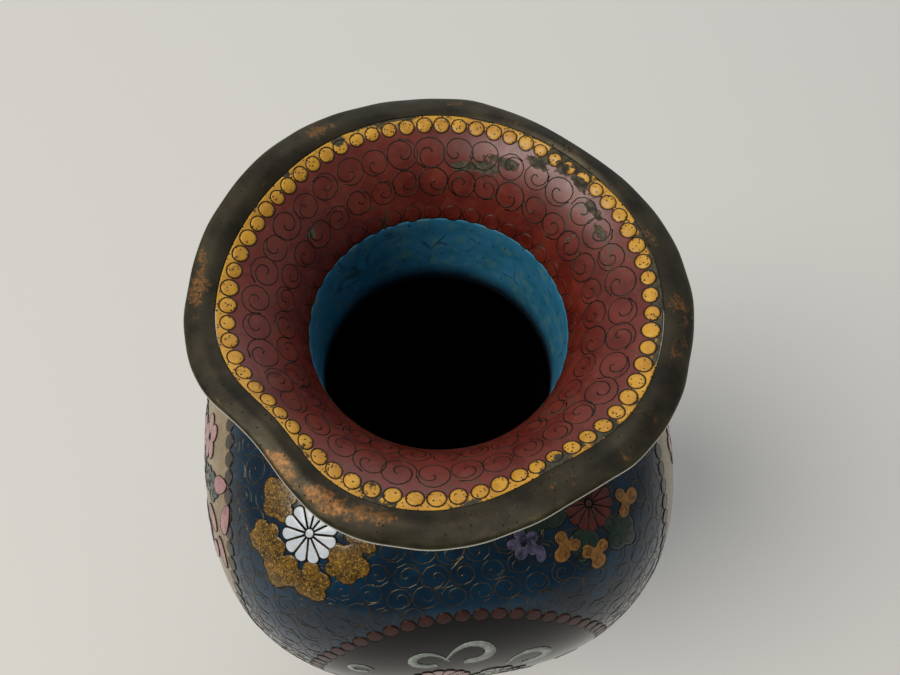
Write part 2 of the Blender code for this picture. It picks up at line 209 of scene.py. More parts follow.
def outerLine(shape):
    # points down the outer face, from the rim to the foot, and where each stretch ends
    t = np.linspace(0, 1, shape["stops"] + 1)
    centreR, centreZ = shape["flareCentre"]
    inner = shape["flareRadius"] - shape["thick"]
    turn = np.radians(shape["rimAngle"] * (1 - t))
    flare = np.stack([centreR - inner * np.cos(turn), centreZ + inner * np.sin(turn)], 1)
    powerR, powerZ = shape["shoulderPowers"]
    turn = np.radians(shape["shoulderStart"] + (90 - shape["shoulderStart"]) * t)
    across = shape["shoulderR"] + (shape["widestR"] - shape["shoulderR"]) * np.sin(turn) ** (2 / powerR)
    up = widestZ + shape["shoulderRise"] * np.clip(np.cos(turn), 0, 1) ** (2 / powerZ)
    shoulder = np.stack([across, up], 1)
    top, end = np.array([shape["neckR"], shape["neckFootZ"]]), shoulder[0]
    slope = (shoulder[3][1] - end[1]) / (shoulder[3][0] - end[0])
    corner = np.array([top[0], end[1] + slope * (top[0] - end[0])])
    k = t[:-1, None]
    fillet = top * (1 - k) ** 2 + corner * 2 * k * (1 - k) + end * k * k
    z = widestZ + (bodyFootZ - widestZ) * t[1:]
    spread = (widestZ - z) / (widestZ - bodyFootZ) / shape["taperSpread"]
    taper = np.stack([shape["taperR"] + (shape["widestR"] - shape["taperR"]) / (1 + spread ** 2), z], 1)
    runs = (("neck", flare), ("shoulder", fillet), ("widest", shoulder), ("foot", taper))
    points = np.concatenate([run for name, run in runs])
    steps = np.linalg.norm(np.diff(points, axis=0), axis=1)
    keep = np.concatenate([[True], steps > 1e-9])
    lengths = np.concatenate([[0], np.cumsum(steps)])
    marks, count = {}, 0
    for name, run in runs:
        count += len(run)
        marks[name] = lengths[count - 1]
    marks["neckFoot"] = marks["neck"] + flare[-1][1] - shape["neckFootZ"]
    points, lengths = points[keep], lengths[keep]
    tangent = np.gradient(points, lengths, axis=0)
    tangent /= np.linalg.norm(tangent, axis=1)[:, None]
    outward = np.stack([-tangent[:, 1], tangent[:, 0]], 1)
    return points, lengths, outward, marks


linePoints, lineLengths, lineOutward, marks = outerLine(wallShape)


def wallProfile(lengths, depth):
    # radius and height at these lengths down the outer line, moved in by the depth
    lengths = np.asarray(lengths, float)
    both = []
    for axis in (0, 1):
        on = np.interp(lengths, lineLengths, linePoints[:, axis])
        both.append(on - depth * np.interp(lengths, lineLengths, lineOutward[:, axis]))
    return both


def squareAt(radius, z):
    # how square the wall is at this radius and height
    shape, reach = wallShape, pinchReach
    square = shape["squareness"] * ramp(radius, reach["startR"], shape["squareR"])
    square = square * ramp(z, bodyFootZ, shape["squareLowZ"])
    return square * (1 - ramp(z, shape["squareHighZ"], reach["lowZ"]))


def shaped(radius, azimuth, z):
    # the soft square of the body and the pinched mouth, azimuth in degrees
    reach = pinchReach
    corner = np.cos(np.radians(4 * (azimuth - wallShape["frontAzimuth"])))
    newRadius = radius * (1 - squareAt(radius, z) * corner)
    newZ = np.array(z, float)
    t = np.clip((radius - reach["startR"]) / (reach["edgeR"] - reach["startR"]), 0, None)
    bead = (reach["beadR"] - reach["startR"]) / (reach["edgeR"] - reach["startR"])
    for centre, width, inBead, upBead, inEdge, upEdge in pinches:
        away = (azimuth - centre + 180) % 360 - 180
        strength = np.exp(-(away / width) ** 2) * ramp(z, reach["lowZ"], reach["fullZ"]) * mm
        moves = []
        for atBead, atEdge in ((inBead, inEdge), (upBead, upEdge)):
            squarePart = (atBead - atEdge * bead ** 3) / (bead ** 2 - bead ** 3)
            moves.append(squarePart * t ** 2 + (atEdge - squarePart) * t ** 3)
        newRadius = newRadius - strength * moves[0]
        newZ = newZ + strength * moves[1]
    turn = np.radians(azimuth)
    return np.stack([newRadius * np.cos(turn), newRadius * np.sin(turn), newZ], -1)


def meshFrom(name, vertices, faces, smooth=True):
    mesh = bpy.data.meshes.new(name)
    mesh.from_pydata([tuple(v) for v in vertices], [], faces)
    if smooth:
        mesh.shade_smooth()
    return mesh


def addObject(name, mesh, material=None):
    item = bpy.data.objects.new(name, mesh)
    bpy.context.scene.collection.objects.link(item)
    if material:
        mesh.materials.clear()
        mesh.materials.append(material)
    return item


def finishPiece(piece, slot, *nodes):
    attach(piece, "root")
    if nodes:
        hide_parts(*nodes)
    return piece


def ringMesh(name, profile, around):
    # a closed ring: the profile (radius, height) runs down its outer side, then up its inner side
    radius, z = np.array(profile)[:, 0], np.array(profile)[:, 1]
    azimuth = np.arange(around) * 360 / around
    grid = shaped(radius[None, :], azimuth[:, None], z[None, :] * np.ones((around, 1)))
    count = len(radius)
    faces = []
    for i in range(around):
        for j in range(count):
            a, b = i * count, ((i + 1) % around) * count
            faces.append((a + j, a + (j + 1) % count, b + (j + 1) % count, b + j))
    return meshFrom(name, grid.reshape(-1, 3), faces)


def layerMesh(name, start, end, depths, around, stops):
    lengths = np.linspace(start, end, stops)
    outer = np.stack(wallProfile(lengths, depths[0]), 1)
    inner = np.stack(wallProfile(lengths[::-1], depths[1]), 1)
    return ringMesh(name, np.concatenate([outer, inner]), around)


def makeCarrier(name, start, end, depth, inside, around=360, stops=260):
    # an open sheet on a visible face, with its own flat coordinates in "wrap", for laying wirework on
    lengths = np.linspace(start, end, stops) if inside else np.linspace(end, start, stops)
    radius, z = wallProfile(lengths, depth)
    along = np.concatenate([[0], np.cumsum(np.hypot(np.diff(radius), np.diff(z)))])
    azimuth = np.arange(around) * 360 / around
    grid = shaped(radius[None, :], azimuth[:, None], z[None, :] * np.ones((around, 1)))
    faces, wraps = [], []
    for i in range(around):
        a, b = i * stops, ((i + 1) % around) * stops
        for j in range(stops - 1):
            v0, v1 = along[j] / along[-1], along[j + 1] / along[-1]
            faces.append((a + j, b + j, b + j + 1, a + j + 1))
            wraps += [(i / around, v0), ((i + 1) / around, v0), ((i + 1) / around, v1), (i / around, v1)]
    mesh = meshFrom(name, grid.reshape(-1, 3), faces)
    layer = mesh.uv_layers.new(name="wrap")
    layer.data.foreach_set("uv", np.array(wraps, np.float32).ravel())
    normals = np.zeros(len(mesh.vertices) * 3, np.float32)
    mesh.vertices.foreach_get("normal", normals)
    mesh.attributes.new("out", "FLOAT_VECTOR", "POINT").data.foreach_set("vector", normals)
    item = addObject(name, mesh)
    item.hide_render = True
    return {"item": item, "along": along, "lengths": lengths, "radius": radius, "z": z, "total": along[-1]}


def girthAt(carrier, along):
    return 2 * math.pi * float(np.interp(along, carrier["along"], carrier["radius"]))


def alongAtHeight(carrier, z):
    order = np.argsort(carrier["z"])
    return float(np.interp(z, carrier["z"][order], carrier["along"][order]))


outerDepth = (0.0, wallShape["enamel"])
innerDepth = (wallShape["thick"] - wallShape["enamel"], wallShape["thick"])
bodyCarrier = makeCarrier("bodyCarrier", marks["neck"] + 10 * mm, marks["foot"], 0.0, False)
flareCarrier = makeCarrier("flareCarrier", 0.0, marks["shoulder"], 0.0, False)
mouthCarrier = makeCarrier("mouthCarrier", 0.0, marks["shoulder"], wallShape["thick"], True)
print("wall worked out")


# finishes

def startMaterial(name):
    material = bpy.data.materials.new(name)
    material.use_nodes = True
    tree = material.node_tree
    shader = tree.nodes["Principled BSDF"]
    place = addNode(tree, "ShaderNodeTexCoord").outputs["Object"]
    return material, tree, shader, place


def noiseAt(tree, place, size, detail=3.0, rough=0.55, stretch=None):
    # cloudy noise whose blobs are about this many mm across
    if stretch:
        place = addNode(tree, "ShaderNodeMapping", {"Vector": place, "Scale": stretch}).outputs[0]
    return addNode(tree, "ShaderNodeTexNoise", {
        "Vector": place, "Scale": 1000 / size, "Detail": detail, "Roughness": rough}).outputs["Fac"]


def mask(tree, value, low, high):
    return addNode(tree, "ShaderNodeMapRange", {
        "Value": value, "From Min": low, "From Max": high}, clamp=True).outputs["Result"]


def blend(tree, amount, first, second):
    node = addNode(tree, "ShaderNodeMix", data_type="RGBA")
    for index, value in ((0, amount), (6, first), (7, second)):
        if isinstance(value, bpy.types.NodeSocket):
            tree.links.new(value, node.inputs[index])
        else:
            node.inputs[index].default_value = value
    return node.outputs[2]


def scaledBy(tree, value, factor):
    return calc(tree, value, factor, "MULTIPLY")


def painted(tree, name):
    # a value painted on the mesh's points
    return addNode(tree, "ShaderNodeAttribute", attribute_name=name).outputs["Fac"]


# as shares of a pit's size: the noise that bends its outline, how far, and where its edge turns full
pitShape = {"bendSize": 2.2, "bendReach": 1.6, "full": 0.6}


def pitsAt(tree, place, spacing, size, share):
    # ragged pits: one in each cell of this spacing in mm, kept in this share of the cells
    bent = addNode(tree, "ShaderNodeTexNoise", {
        "Vector": place, "Scale": 1000 / (pitShape["bendSize"] * size)}).outputs["Color"]
    place = addNode(tree, "ShaderNodeVectorMath", {
        0: bent, 1: (pitShape["bendReach"] * size * mm,) * 3, 2: place}, operation="MULTIPLY_ADD").outputs[0]
    cells = addNode(tree, "ShaderNodeTexVoronoi", {"Vector": place, "Scale": 1000 / spacing})
    near = mask(tree, cells.outputs["Distance"], size / spacing, size / spacing * pitShape["full"])
    chosen = addNode(tree, "ShaderNodeSeparateColor", {0: cells.outputs["Color"]}).outputs[0]
    return scaledBy(tree, near, calc(tree, chosen, share, "LESS_THAN"))


def roughnessAt(tree, place, look, detail):
    return addNode(tree, "ShaderNodeMapRange", {
        "Value": noiseAt(tree, place, look["roughSize"], detail),
        "To Min": look["roughness"] * look["roughPlay"][0],
        "To Max": look["roughness"] * look["roughPlay"][1]}).outputs["Result"]


def finishShader(tree, shader, colour, rough, height, look):
    bump = addNode(tree, "ShaderNodeBump", {
        "Height": height, "Strength": look["bump"], "Distance": look["bumpDepth"] * mm})
    tree.links.new(colour, shader.inputs["Base Color"])
    tree.links.new(rough, shader.inputs["Roughness"])
    tree.links.new(bump.outputs[0], shader.inputs["Normal"])


# what every enamel has unless its own look says otherwise; sizes in mm
enamelBase = {
    "cloudRange": (0.35, 0.65), "fineSize": 1.0, "fineRange": (0.5, 0.78), "fineAmount": 0.6,
    "cellRange": (0.45, 1.0), "pitSpacing": 1.0, "pitSize": 0.12, "pitShare": 0.3, "pitTone": "#14100C",
    "waveSize": 4, "bump": 0.25, "bumpDepth": 0.12, "roughness": 0.24, "roughSize": 2.5,
    "roughPlay": (0.7, 1.35), "index": 1.52, "specular": 0.5,
    "neckShadeSize": 3, "neckShadePlay": 0.25, "neckShadeRange": (-0.1, 0.8),
    "crackBend": 6.0, "crackSway": 4.0, "breakSize": 9, "breakRange": (0.5, 0.6), "crackAmount": 0.7,
    "wearFine": 2.2, "wearBroad": 7, "wearPlay": 1.6, "wearRange": (0.62, 0.72), "wearDepth": 2.0,
    "wearRough": 0.4, "dirtSize": 1.2, "dirtRange": (0.4, 0.6), "dirtTone": "#2E2A1C",
}


def makeEnamel(name, own):
    # fired enamel, ground flat and polished: an even glassy colour with clouds, pinholes and loss
    look = dict(enamelBase, **own)
    material, tree, shader, place = startMaterial(name)
    broad = mask(tree, noiseAt(tree, place, look["cloudSize"]), *look["cloudRange"])
    colour = blend(tree, broad, linear(look["deep"]), linear(look["main"]))
    fine = mask(tree, noiseAt(tree, place, look["fineSize"], 4), *look["fineRange"])
    colour = blend(tree, scaledBy(tree, fine, look["fineAmount"]), colour, linear(look["light"]))
    if "cells" in look:
        # each wired cell was filled by itself, so its tone is its own
        tone, spacing, amount = look["cells"]
        cell = addNode(tree, "ShaderNodeTexVoronoi", {"Vector": place, "Scale": 1000 / spacing})
        cell = addNode(tree, "ShaderNodeSeparateColor", {0: cell.outputs["Color"]}).outputs[1]
        cell = scaledBy(tree, mask(tree, cell, *look["cellRange"]), amount)
        colour = blend(tree, cell, colour, linear(tone))
    if "specks" in look:
        tone, spacing, size, share = look["specks"]
        colour = blend(tree, pitsAt(tree, place, spacing, size, share), colour, linear(tone))
    pits = pitsAt(tree, place, look["pitSpacing"], look["pitSize"], look["pitShare"])
    colour = blend(tree, pits, colour, linear(look["pitTone"]))
    height = calc(tree, noiseAt(tree, place, look["waveSize"], 2), pits, "SUBTRACT")
    rough = roughnessAt(tree, place, look, 4)
    if "neckShade" in look:
        # painted shade: the lining is darkened towards the depth of the neck, where less light reaches
        play = scaledBy(tree, noiseAt(tree, place, look["neckShadeSize"], 4), look["neckShadePlay"])
        ragged = calc(tree, painted(tree, "neckShade"), play, "SUBTRACT")
        colour = blend(tree, mask(tree, ragged, *look["neckShadeRange"]), colour, linear(look["neckShade"]))
    if "cracks" in look:
        tone, spacing, width = look["cracks"]
        bent = addNode(tree, "ShaderNodeTexNoise", {
            "Vector": place, "Scale": 1000 / look["crackBend"]}).outputs["Color"]
        moved = addNode(tree, "ShaderNodeVectorMath", {
            0: bent, 1: (look["crackSway"] * mm,) * 3}, operation="MULTIPLY").outputs[0]
        moved = addNode(tree, "ShaderNodeVectorMath", {0: moved, 1: place}, operation="ADD").outputs[0]
        edges = addNode(tree, "ShaderNodeTexVoronoi", {
            "Vector": moved, "Scale": 1000 / spacing}, feature="DISTANCE_TO_EDGE")
        line = mask(tree, edges.outputs["Distance"], width / spacing, 0.0)
        broken = mask(tree, noiseAt(tree, place, look["breakSize"]), *look["breakRange"])
        line = scaledBy(tree, scaledBy(tree, line, broken), look["crackAmount"])
        colour = blend(tree, line, colour, linear(tone))
    if "wear" in look:
        # where enamel is lost, the dull greenish-brown of the corroded metal shows
        ragged = calc(tree, noiseAt(tree, place, look["wearFine"], 5, 0.65),
                      noiseAt(tree, place, look["wearBroad"]))
        ragged = scaledBy(tree, calc(tree, ragged, 1.0, "SUBTRACT"), look["wearPlay"])
        lost = mask(tree, calc(tree, painted(tree, "wear"), ragged), *look["wearRange"])
        dirt = mask(tree, noiseAt(tree, place, look["dirtSize"], 4), *look["dirtRange"])
        dirt = blend(tree, dirt, linear(look["wear"]), linear(look["dirtTone"]))
        colour = blend(tree, lost, colour, dirt)
        height = calc(tree, height, scaledBy(tree, lost, look["wearDepth"]), "SUBTRACT")
        rough = calc(tree, rough, scaledBy(tree, lost, look["wearRough"]), "ADD", True)
    finishShader(tree, shader, colour, rough, height, look)
    shader.inputs["IOR"].default_value = look["index"]
    shader.inputs["Specular IOR Level"].default_value = look["specular"]
    return material


# what every metal has unless its own look says otherwise; sizes in mm
metalBase = {
    "cloudRange": (0.35, 0.65), "rubFine": 1.6, "grainSize": 0.7, "grainRange": (0.3, 0.7),
    "rubAmount": 0.8, "edgeSize": 3, "edgeRange": (0.35, 0.6), "dirt": (1.1, 0.22, 0.35),
    "dirtTone": "#17130D", "roughSize": 3, "roughPlay": (0.75, 1.3), "polishSmooth": 0.25,
    "scratchSize": 1.0, "scratchStretch": (0.25, 1.0, 1.0), "scratchDepth": 0.35, "waveSize": 5,
    "bump": 0.35, "bumpDepth": 0.15,
}


def makeMetal(name, own):
    # tarnished copper alloy: dark patina, rubbed through to the warm metal in patches
    look = dict(metalBase, **own)
    material, tree, shader, place = startMaterial(name)
    broad = mask(tree, noiseAt(tree, place, look["cloudSize"], 4), *look["cloudRange"])
    colour = blend(tree, broad, linear(look["deep"]), linear(look["main"]))
    rubbed = calc(tree, noiseAt(tree, place, look["rubSize"], 2),
                  noiseAt(tree, place, look["rubFine"], 5, 0.7))
    if "polishHighlight" in look:
        # "rub" marks where hands have worn the patina through; the polished edge gets a smoother finish and a
        # painted highlight, a near-white colour standing in for the reflection on the lip
        polishHighlight = painted(tree, "polishHighlight")
        rubbed = calc(tree, rubbed, painted(tree, "rub"))
    rubbed = mask(tree, rubbed, *look["rubRange"])
    grain = mask(tree, noiseAt(tree, place, look["grainSize"], 3), *look["grainRange"])
    rubbed = scaledBy(tree, rubbed, scaledBy(tree, grain, look["rubAmount"]))
    colour = blend(tree, rubbed, colour, linear(look["rubbed"]))
    if "edge" in look:
        patches = mask(tree, noiseAt(tree, place, look["edgeSize"], 4), *look["edgeRange"])
        patches = scaledBy(tree, painted(tree, "edge"), patches)
        colour = blend(tree, patches, colour, linear(look["edge"]))
    dirt = pitsAt(tree, place, *look["dirt"])
    colour = blend(tree, dirt, colour, linear(look["dirtTone"]))
    rough = roughnessAt(tree, place, look, 5)
    if "polishHighlight" in look:
        # painted highlight: the polished lip is tinted near-white as if reflecting the bright floor; its
        # roughness is lowered too
        colour = blend(tree, polishHighlight, colour, linear(look["polishHighlight"]))
        rough = calc(tree, rough, scaledBy(tree, polishHighlight, look["polishSmooth"]), "SUBTRACT")
    scratches = noiseAt(tree, place, look["scratchSize"], 4, 0.6, look["scratchStretch"])
    scratches = scaledBy(tree, scratches, look["scratchDepth"])
    height = calc(tree, noiseAt(tree, place, look["waveSize"], 3), scratches)
    height = calc(tree, height, dirt, "SUBTRACT")
    finishShader(tree, shader, colour, rough, height, look)
    shader.inputs["Metallic"].default_value = look["metallic"]
    return material


# each look gives only what differs from what they share
enamels = {
    # opaque brick-red enamel: worn to a soft sheen, browner where it lies thin
    "redEnamel": {"deep": "#561509", "main": "#6E2415", "light": "#7E3A2A", "cloudSize": 9, "fineSize": 2.0,
                  "fineAmount": 0.5, "cells": ("#7E3A2A", 4.5, 0.35),
                  "specks": ("#8A7565", 2.6, 0.15, 0.2), "cracks": ("#3F3A26", 12.0, 0.42),
                  "pitSpacing": 1.7, "pitSize": 0.15, "pitShare": 0.4, "roughness": 0.36,
                  "wear": "#57523B", "bump": 0.3},
    # opaque yellow enamel: full of black pinholes
    "yellowEnamel": {"deep": "#B8801C", "main": "#D39E2A", "light": "#E2B13E", "cloudSize": 4,
                     "fineSize": 0.8, "pitSpacing": 0.66, "pitSize": 0.23, "pitShare": 0.55,
                     "pitTone": "#241806", "roughness": 0.42, "wear": "#4A4532", "bump": 0.6},
    # turquoise-blue lining enamel: matt and mottled, with hair cracks; painted shade darkens it towards the
    # depth of the neck
    "turquoiseEnamel": {"deep": "#25708E", "main": "#3A86AE", "light": "#5F8E86", "cloudSize": 9,
                        "fineSize": 3.4, "fineAmount": 0.9, "pitSpacing": 2.0, "pitSize": 0.34,
                        "pitShare": 0.45, "pitTone": "#123040", "roughness": 0.5, "neckShade": "#04141F",
                        "cracks": ("#0C2833", 9.0, 0.55), "bump": 0.4},
    # deep blue ground enamel: polished and slightly see-through, darker in clouds
    "blueEnamel": {"specular": 0.32, "deep": "#0A2030", "main": "#0E334B", "light": "#15435C",
                   "cloudSize": 22, "fineSize": 5.0, "fineAmount": 0.4, "cells": ("#0A2030", 6.0, 0.4),
                   "pitSpacing": 3.0, "pitSize": 0.2, "pitShare": 0.25, "roughness": 0.17, "bump": 0.14},
    # black enamel of the front and back panels: polished like lacquer
    "blackEnamel": {"specular": 0.16, "deep": "#040406", "main": "#08080B", "light": "#101014",
                    "cloudSize": 10, "fineSize": 2.0, "pitSpacing": 2.4, "pitSize": 0.14,
                    "pitShare": 0.25, "roughness": 0.17, "bump": 0.12},
    # tan enamel of the side panels: strewn with gold grains
    "tanEnamel": {"deep": "#786547", "main": "#8F7B59", "light": "#A18C6A", "cloudSize": 6,
                  "fineSize": 1.4, "specks": ("#D8A64A", 0.8, 0.16, 0.4), "pitSize": 0.14,
                  "pitTone": "#6A4A20", "roughness": 0.26, "bump": 0.2},
    "brownEnamel": {"specular": 0.25, "deep": "#2D110D", "main": "#3E1B15", "light": "#4E251D",
                    "cloudSize": 5, "pitSpacing": 0.9, "roughness": 0.28, "bump": 0.3},
    "darkBrownEnamel": {"deep": "#231B15", "main": "#30251D", "light": "#44362A", "cloudSize": 5,
                        "pitSpacing": 0.9, "roughness": 0.28, "bump": 0.3},
    # white enamel of the chrysanthemum: cool white with brown pinholes
    "whiteEnamel": {"deep": "#C3CCD4", "main": "#D8E0E8", "light": "#E9EEF2", "cloudSize": 3,
                    "fineSize": 0.8, "pitSpacing": 0.85, "pitSize": 0.13, "pitTone": "#3A2E24",
                    "roughness": 0.26, "bump": 0.35},
    "oxbloodEnamel": {"deep": "#44120A", "main": "#621F10", "light": "#742C1A", "cloudSize": 4,
                      "pitSpacing": 1.2},
    "pinkEnamel": {"deep": "#8E6062", "main": "#B07F80", "light": "#C79A98", "cloudSize": 3},
    "greenEnamel": {"deep": "#0F2017", "main": "#1A3226", "light": "#284433", "cloudSize": 4},
    "ochreEnamel": {"deep": "#70481A", "main": "#98692A", "light": "#B58444", "cloudSize": 2,
                    "fineSize": 0.8, "pitSpacing": 0.7, "pitSize": 0.17, "pitShare": 0.5,
                    "roughness": 0.3, "bump": 0.4},
    "paleEnamel": {"deep": "#767E76", "main": "#9CA59C", "light": "#BAC2BA", "cloudSize": 3,
                   "fineSize": 0.9},
    "lavenderEnamel": {"deep": "#23243C", "main": "#5F5A75", "light": "#8E8CA6", "cloudSize": 2.0,
                       "fineSize": 0.8, "pitSpacing": 0.8, "pitSize": 0.2, "pitShare": 0.6,
                       "roughness": 0.34, "bump": 0.5},
    # goldstone enamel of the leaves: amber glass packed with coarse gold grains
    "goldstoneEnamel": {"deep": "#3C280A", "main": "#7C5A18", "light": "#BE9234", "cloudSize": 2.6,
                        "fineSize": 0.6, "fineAmount": 0.9, "specks": ("#DDB85A", 0.5, 0.14, 0.4),
                        "pitSpacing": 0.6, "pitSize": 0.2, "pitShare": 0.55, "pitTone": "#2A1B08",
                        "roughness": 0.28, "bump": 0.6},
}
# the hollow of the body: painted shade, a near-black lining so that the inside reads black through the neck
enamels["shadeBlackLining"] = dict(enamels["blackEnamel"], deep="#020203", main="#040405", light="#070708",
                               roughness=0.9, specular=0.1)
metals = {
    # gilt brass band gone olive-brown, rubbed back to a coppery tone, verdigris tint at the lip, with a
    # painted highlight along the polished edge
    "patinatedBrass": {"deep": "#28251D", "main": "#413B2D", "rubbed": "#966634", "cloudSize": 7,
                       "rubSize": 9, "rubRange": (1.2, 1.36), "edge": "#4B4930", "polishHighlight": "#D6D2C4",
                       "roughness": 0.46, "metallic": 0.75},
    # flat cloison wire, ground flush and tarnished nearly black
    "tarnishedWire": {"deep": "#211A14", "main": "#332820", "rubbed": "#6B5530", "cloudSize": 4,
                      "rubSize": 5, "rubRange": (1.16, 1.34), "roughness": 0.42, "metallic": 0.6,
                      "bump": 0.1},
    # the same wire where handling keeps it brassy
    "brightWire": {"deep": "#2E2618", "main": "#4C3F26", "rubbed": "#8A733E", "cloudSize": 5,
                   "rubSize": 6, "rubRange": (1.1, 1.3), "roughness": 0.38, "metallic": 0.7,
                   "bump": 0.1},
    # raised copper sheet, oxidised by the firing
    "oxidisedCopper": {"deep": "#3A1D12", "main": "#6A3A24", "rubbed": "#9A6040", "cloudSize": 9,
                       "rubSize": 8, "rubRange": (1.1, 1.3), "roughness": 0.5, "metallic": 0.9},
}
finish = {name: makeEnamel(name, look) for name, look in enamels.items()}
finish.update({name: makeMetal(name, look) for name, look in metals.items()})
print("finishes made:", len(finish))


# Geometry Nodes trees

def newTree(name, sockets):
    tree = bpy.data.node_groups.new(name, "GeometryNodeTree")
    tree.interface.new_socket("Geometry", in_out="INPUT", socket_type="NodeSocketGeometry")
    for label, kind, value in sockets:
        socket = tree.interface.new_socket(label, in_out="INPUT", socket_type="NodeSocket" + kind)
        if value is not None:
            socket.default_value = value
    tree.interface.new_socket("Geometry", in_out="OUTPUT", socket_type="NodeSocketGeometry")
    given = tree.nodes.new("NodeGroupInput")
    return tree, given.outputs, tree.nodes.new("NodeGroupOutput")


def named(tree, name, kind="FLOAT"):
    return addNode(tree, "GeometryNodeInputNamedAttribute", {"Name": name}, data_type=kind).outputs[0]


def makeWrapTree():
    # bends flat work onto a carrier: X is azimuth times the local girth, Y the way along the wall
    tree, given, out = newTree("wrapOnWall", wrapInputs)
    place = addNode(tree, "GeometryNodeInputPosition").outputs[0]
    flat = addNode(tree, "ShaderNodeSeparateXYZ", {0: place}).outputs
    turn = calc(tree, calc(tree, flat[0], named(tree, "girth"), "DIVIDE"), 0.0, "FRACT")
    turn = addNode(tree, "ShaderNodeClamp", {0: turn, 1: 0.00001, 2: 0.99999}).outputs[0]
    along = calc(tree, flat[1], given["Wall Length"], "DIVIDE")
    along = addNode(tree, "ShaderNodeClamp", {0: along, 1: 0.0001, 2: 0.9999}).outputs[0]
    where = addNode(tree, "ShaderNodeCombineXYZ", {0: turn, 1: along}).outputs[0]
    sheet = addNode(tree, "GeometryNodeObjectInfo", {"Object": given["Carrier"]}).outputs["Geometry"]
    wrap = named(tree, "wrap", "FLOAT_VECTOR")
    found = []
    for value in (place, named(tree, "out", "FLOAT_VECTOR")):
        node = addNode(tree, "GeometryNodeSampleUVSurface", data_type="FLOAT_VECTOR")
        tree.links.new(sheet, node.inputs["Mesh"])
        tree.links.new(value, node.inputs["Value"])
        tree.links.new(wrap, node.inputs["Source UV Map"])
        tree.links.new(where, node.inputs["Sample UV"])
        found.append(node.outputs["Value"])
    height = calc(tree, flat[2], given["Lift"])
    away = addNode(tree, "ShaderNodeVectorMath", {0: found[1], "Scale": height}, operation="SCALE").outputs[0]
    target = addNode(tree, "ShaderNodeVectorMath", {0: found[0], 1: away}, operation="ADD").outputs[0]
    moved = addNode(tree, "GeometryNodeSetPosition", {"Geometry": given["Geometry"], "Position": target})
    tree.links.new(moved.outputs[0], out.inputs[0])
    return tree


wrapInputs = (("Carrier", "Object", None), ("Wall Length", "Float", 1.0), ("Lift", "Float", 0.0))
workInputs = wrapInputs + (("Material", "Material", None),)
wrapTree = makeWrapTree()


def layOnWall(tree, geometry, given, out):
    # the last step of each tree: bent onto the wall, with its finish
    node = addNode(tree, "GeometryNodeGroup", node_tree=wrapTree)
    tree.links.new(geometry, node.inputs["Geometry"])
    for label, _, _ in wrapInputs:
        tree.links.new(given[label], node.inputs[label])
    done = addNode(tree, "GeometryNodeSetMaterial", {0: node.outputs[0], "Material": given["Material"]})
    tree.links.new(done.outputs[0], out.inputs[0])
    return tree


def makePlateTree():
    # flat work made in one piece
    tree, given, out = newTree("plateOnWall", workInputs)
    return layOnWall(tree, given["Geometry"], given, out)


def instanceOn(tree, points, given, index, turn, size):
    motifs = addNode(tree, "GeometryNodeCollectionInfo", {
        "Collection": given["Motifs"], "Separate Children": True, "Reset Children": True}).outputs[0]
    rotation = addNode(tree, "ShaderNodeCombineXYZ", {2: turn}).outputs[0]
    scale = addNode(tree, "ShaderNodeCombineXYZ", {0: size, 1: size, 2: 1.0}).outputs[0]
    node = addNode(tree, "GeometryNodeInstanceOnPoints", {
        "Points": points, "Instance": motifs, "Pick Instance": True, "Instance Index": index,
        "Scale": scale})
    tree.links.new(rotation, node.inputs["Rotation"])
    return addNode(tree, "GeometryNodeRealizeInstances", {0: node.outputs[0]}).outputs[0]


def makeScatterTree():
    # motifs on given points, which carry their girth, kind, turn and size
    tree, given, out = newTree("motifsOnWall", workInputs + (("Motifs", "Collection", None),))
    laid = instanceOn(tree, given["Geometry"], given, named(tree, "kind", "INT"), named(tree, "turn"),
                      named(tree, "size"))
    return layOnWall(tree, laid, given, out)


def randomIn(tree, low, high, seed, offset, whole=False):
    node = addNode(tree, "FunctionNodeRandomValue", data_type="INT" if whole else "FLOAT")
    seeded = calc(tree, seed, float(offset))
    shown = [s for s in node.inputs if s.enabled]
    for socket, value in zip(shown, (low, high)):
        if isinstance(value, bpy.types.NodeSocket):
            tree.links.new(value, socket)
        else:
            socket.default_value = value
    tree.links.new(seeded, node.inputs["Seed"])
    return [s for s in node.outputs if s.enabled][0]


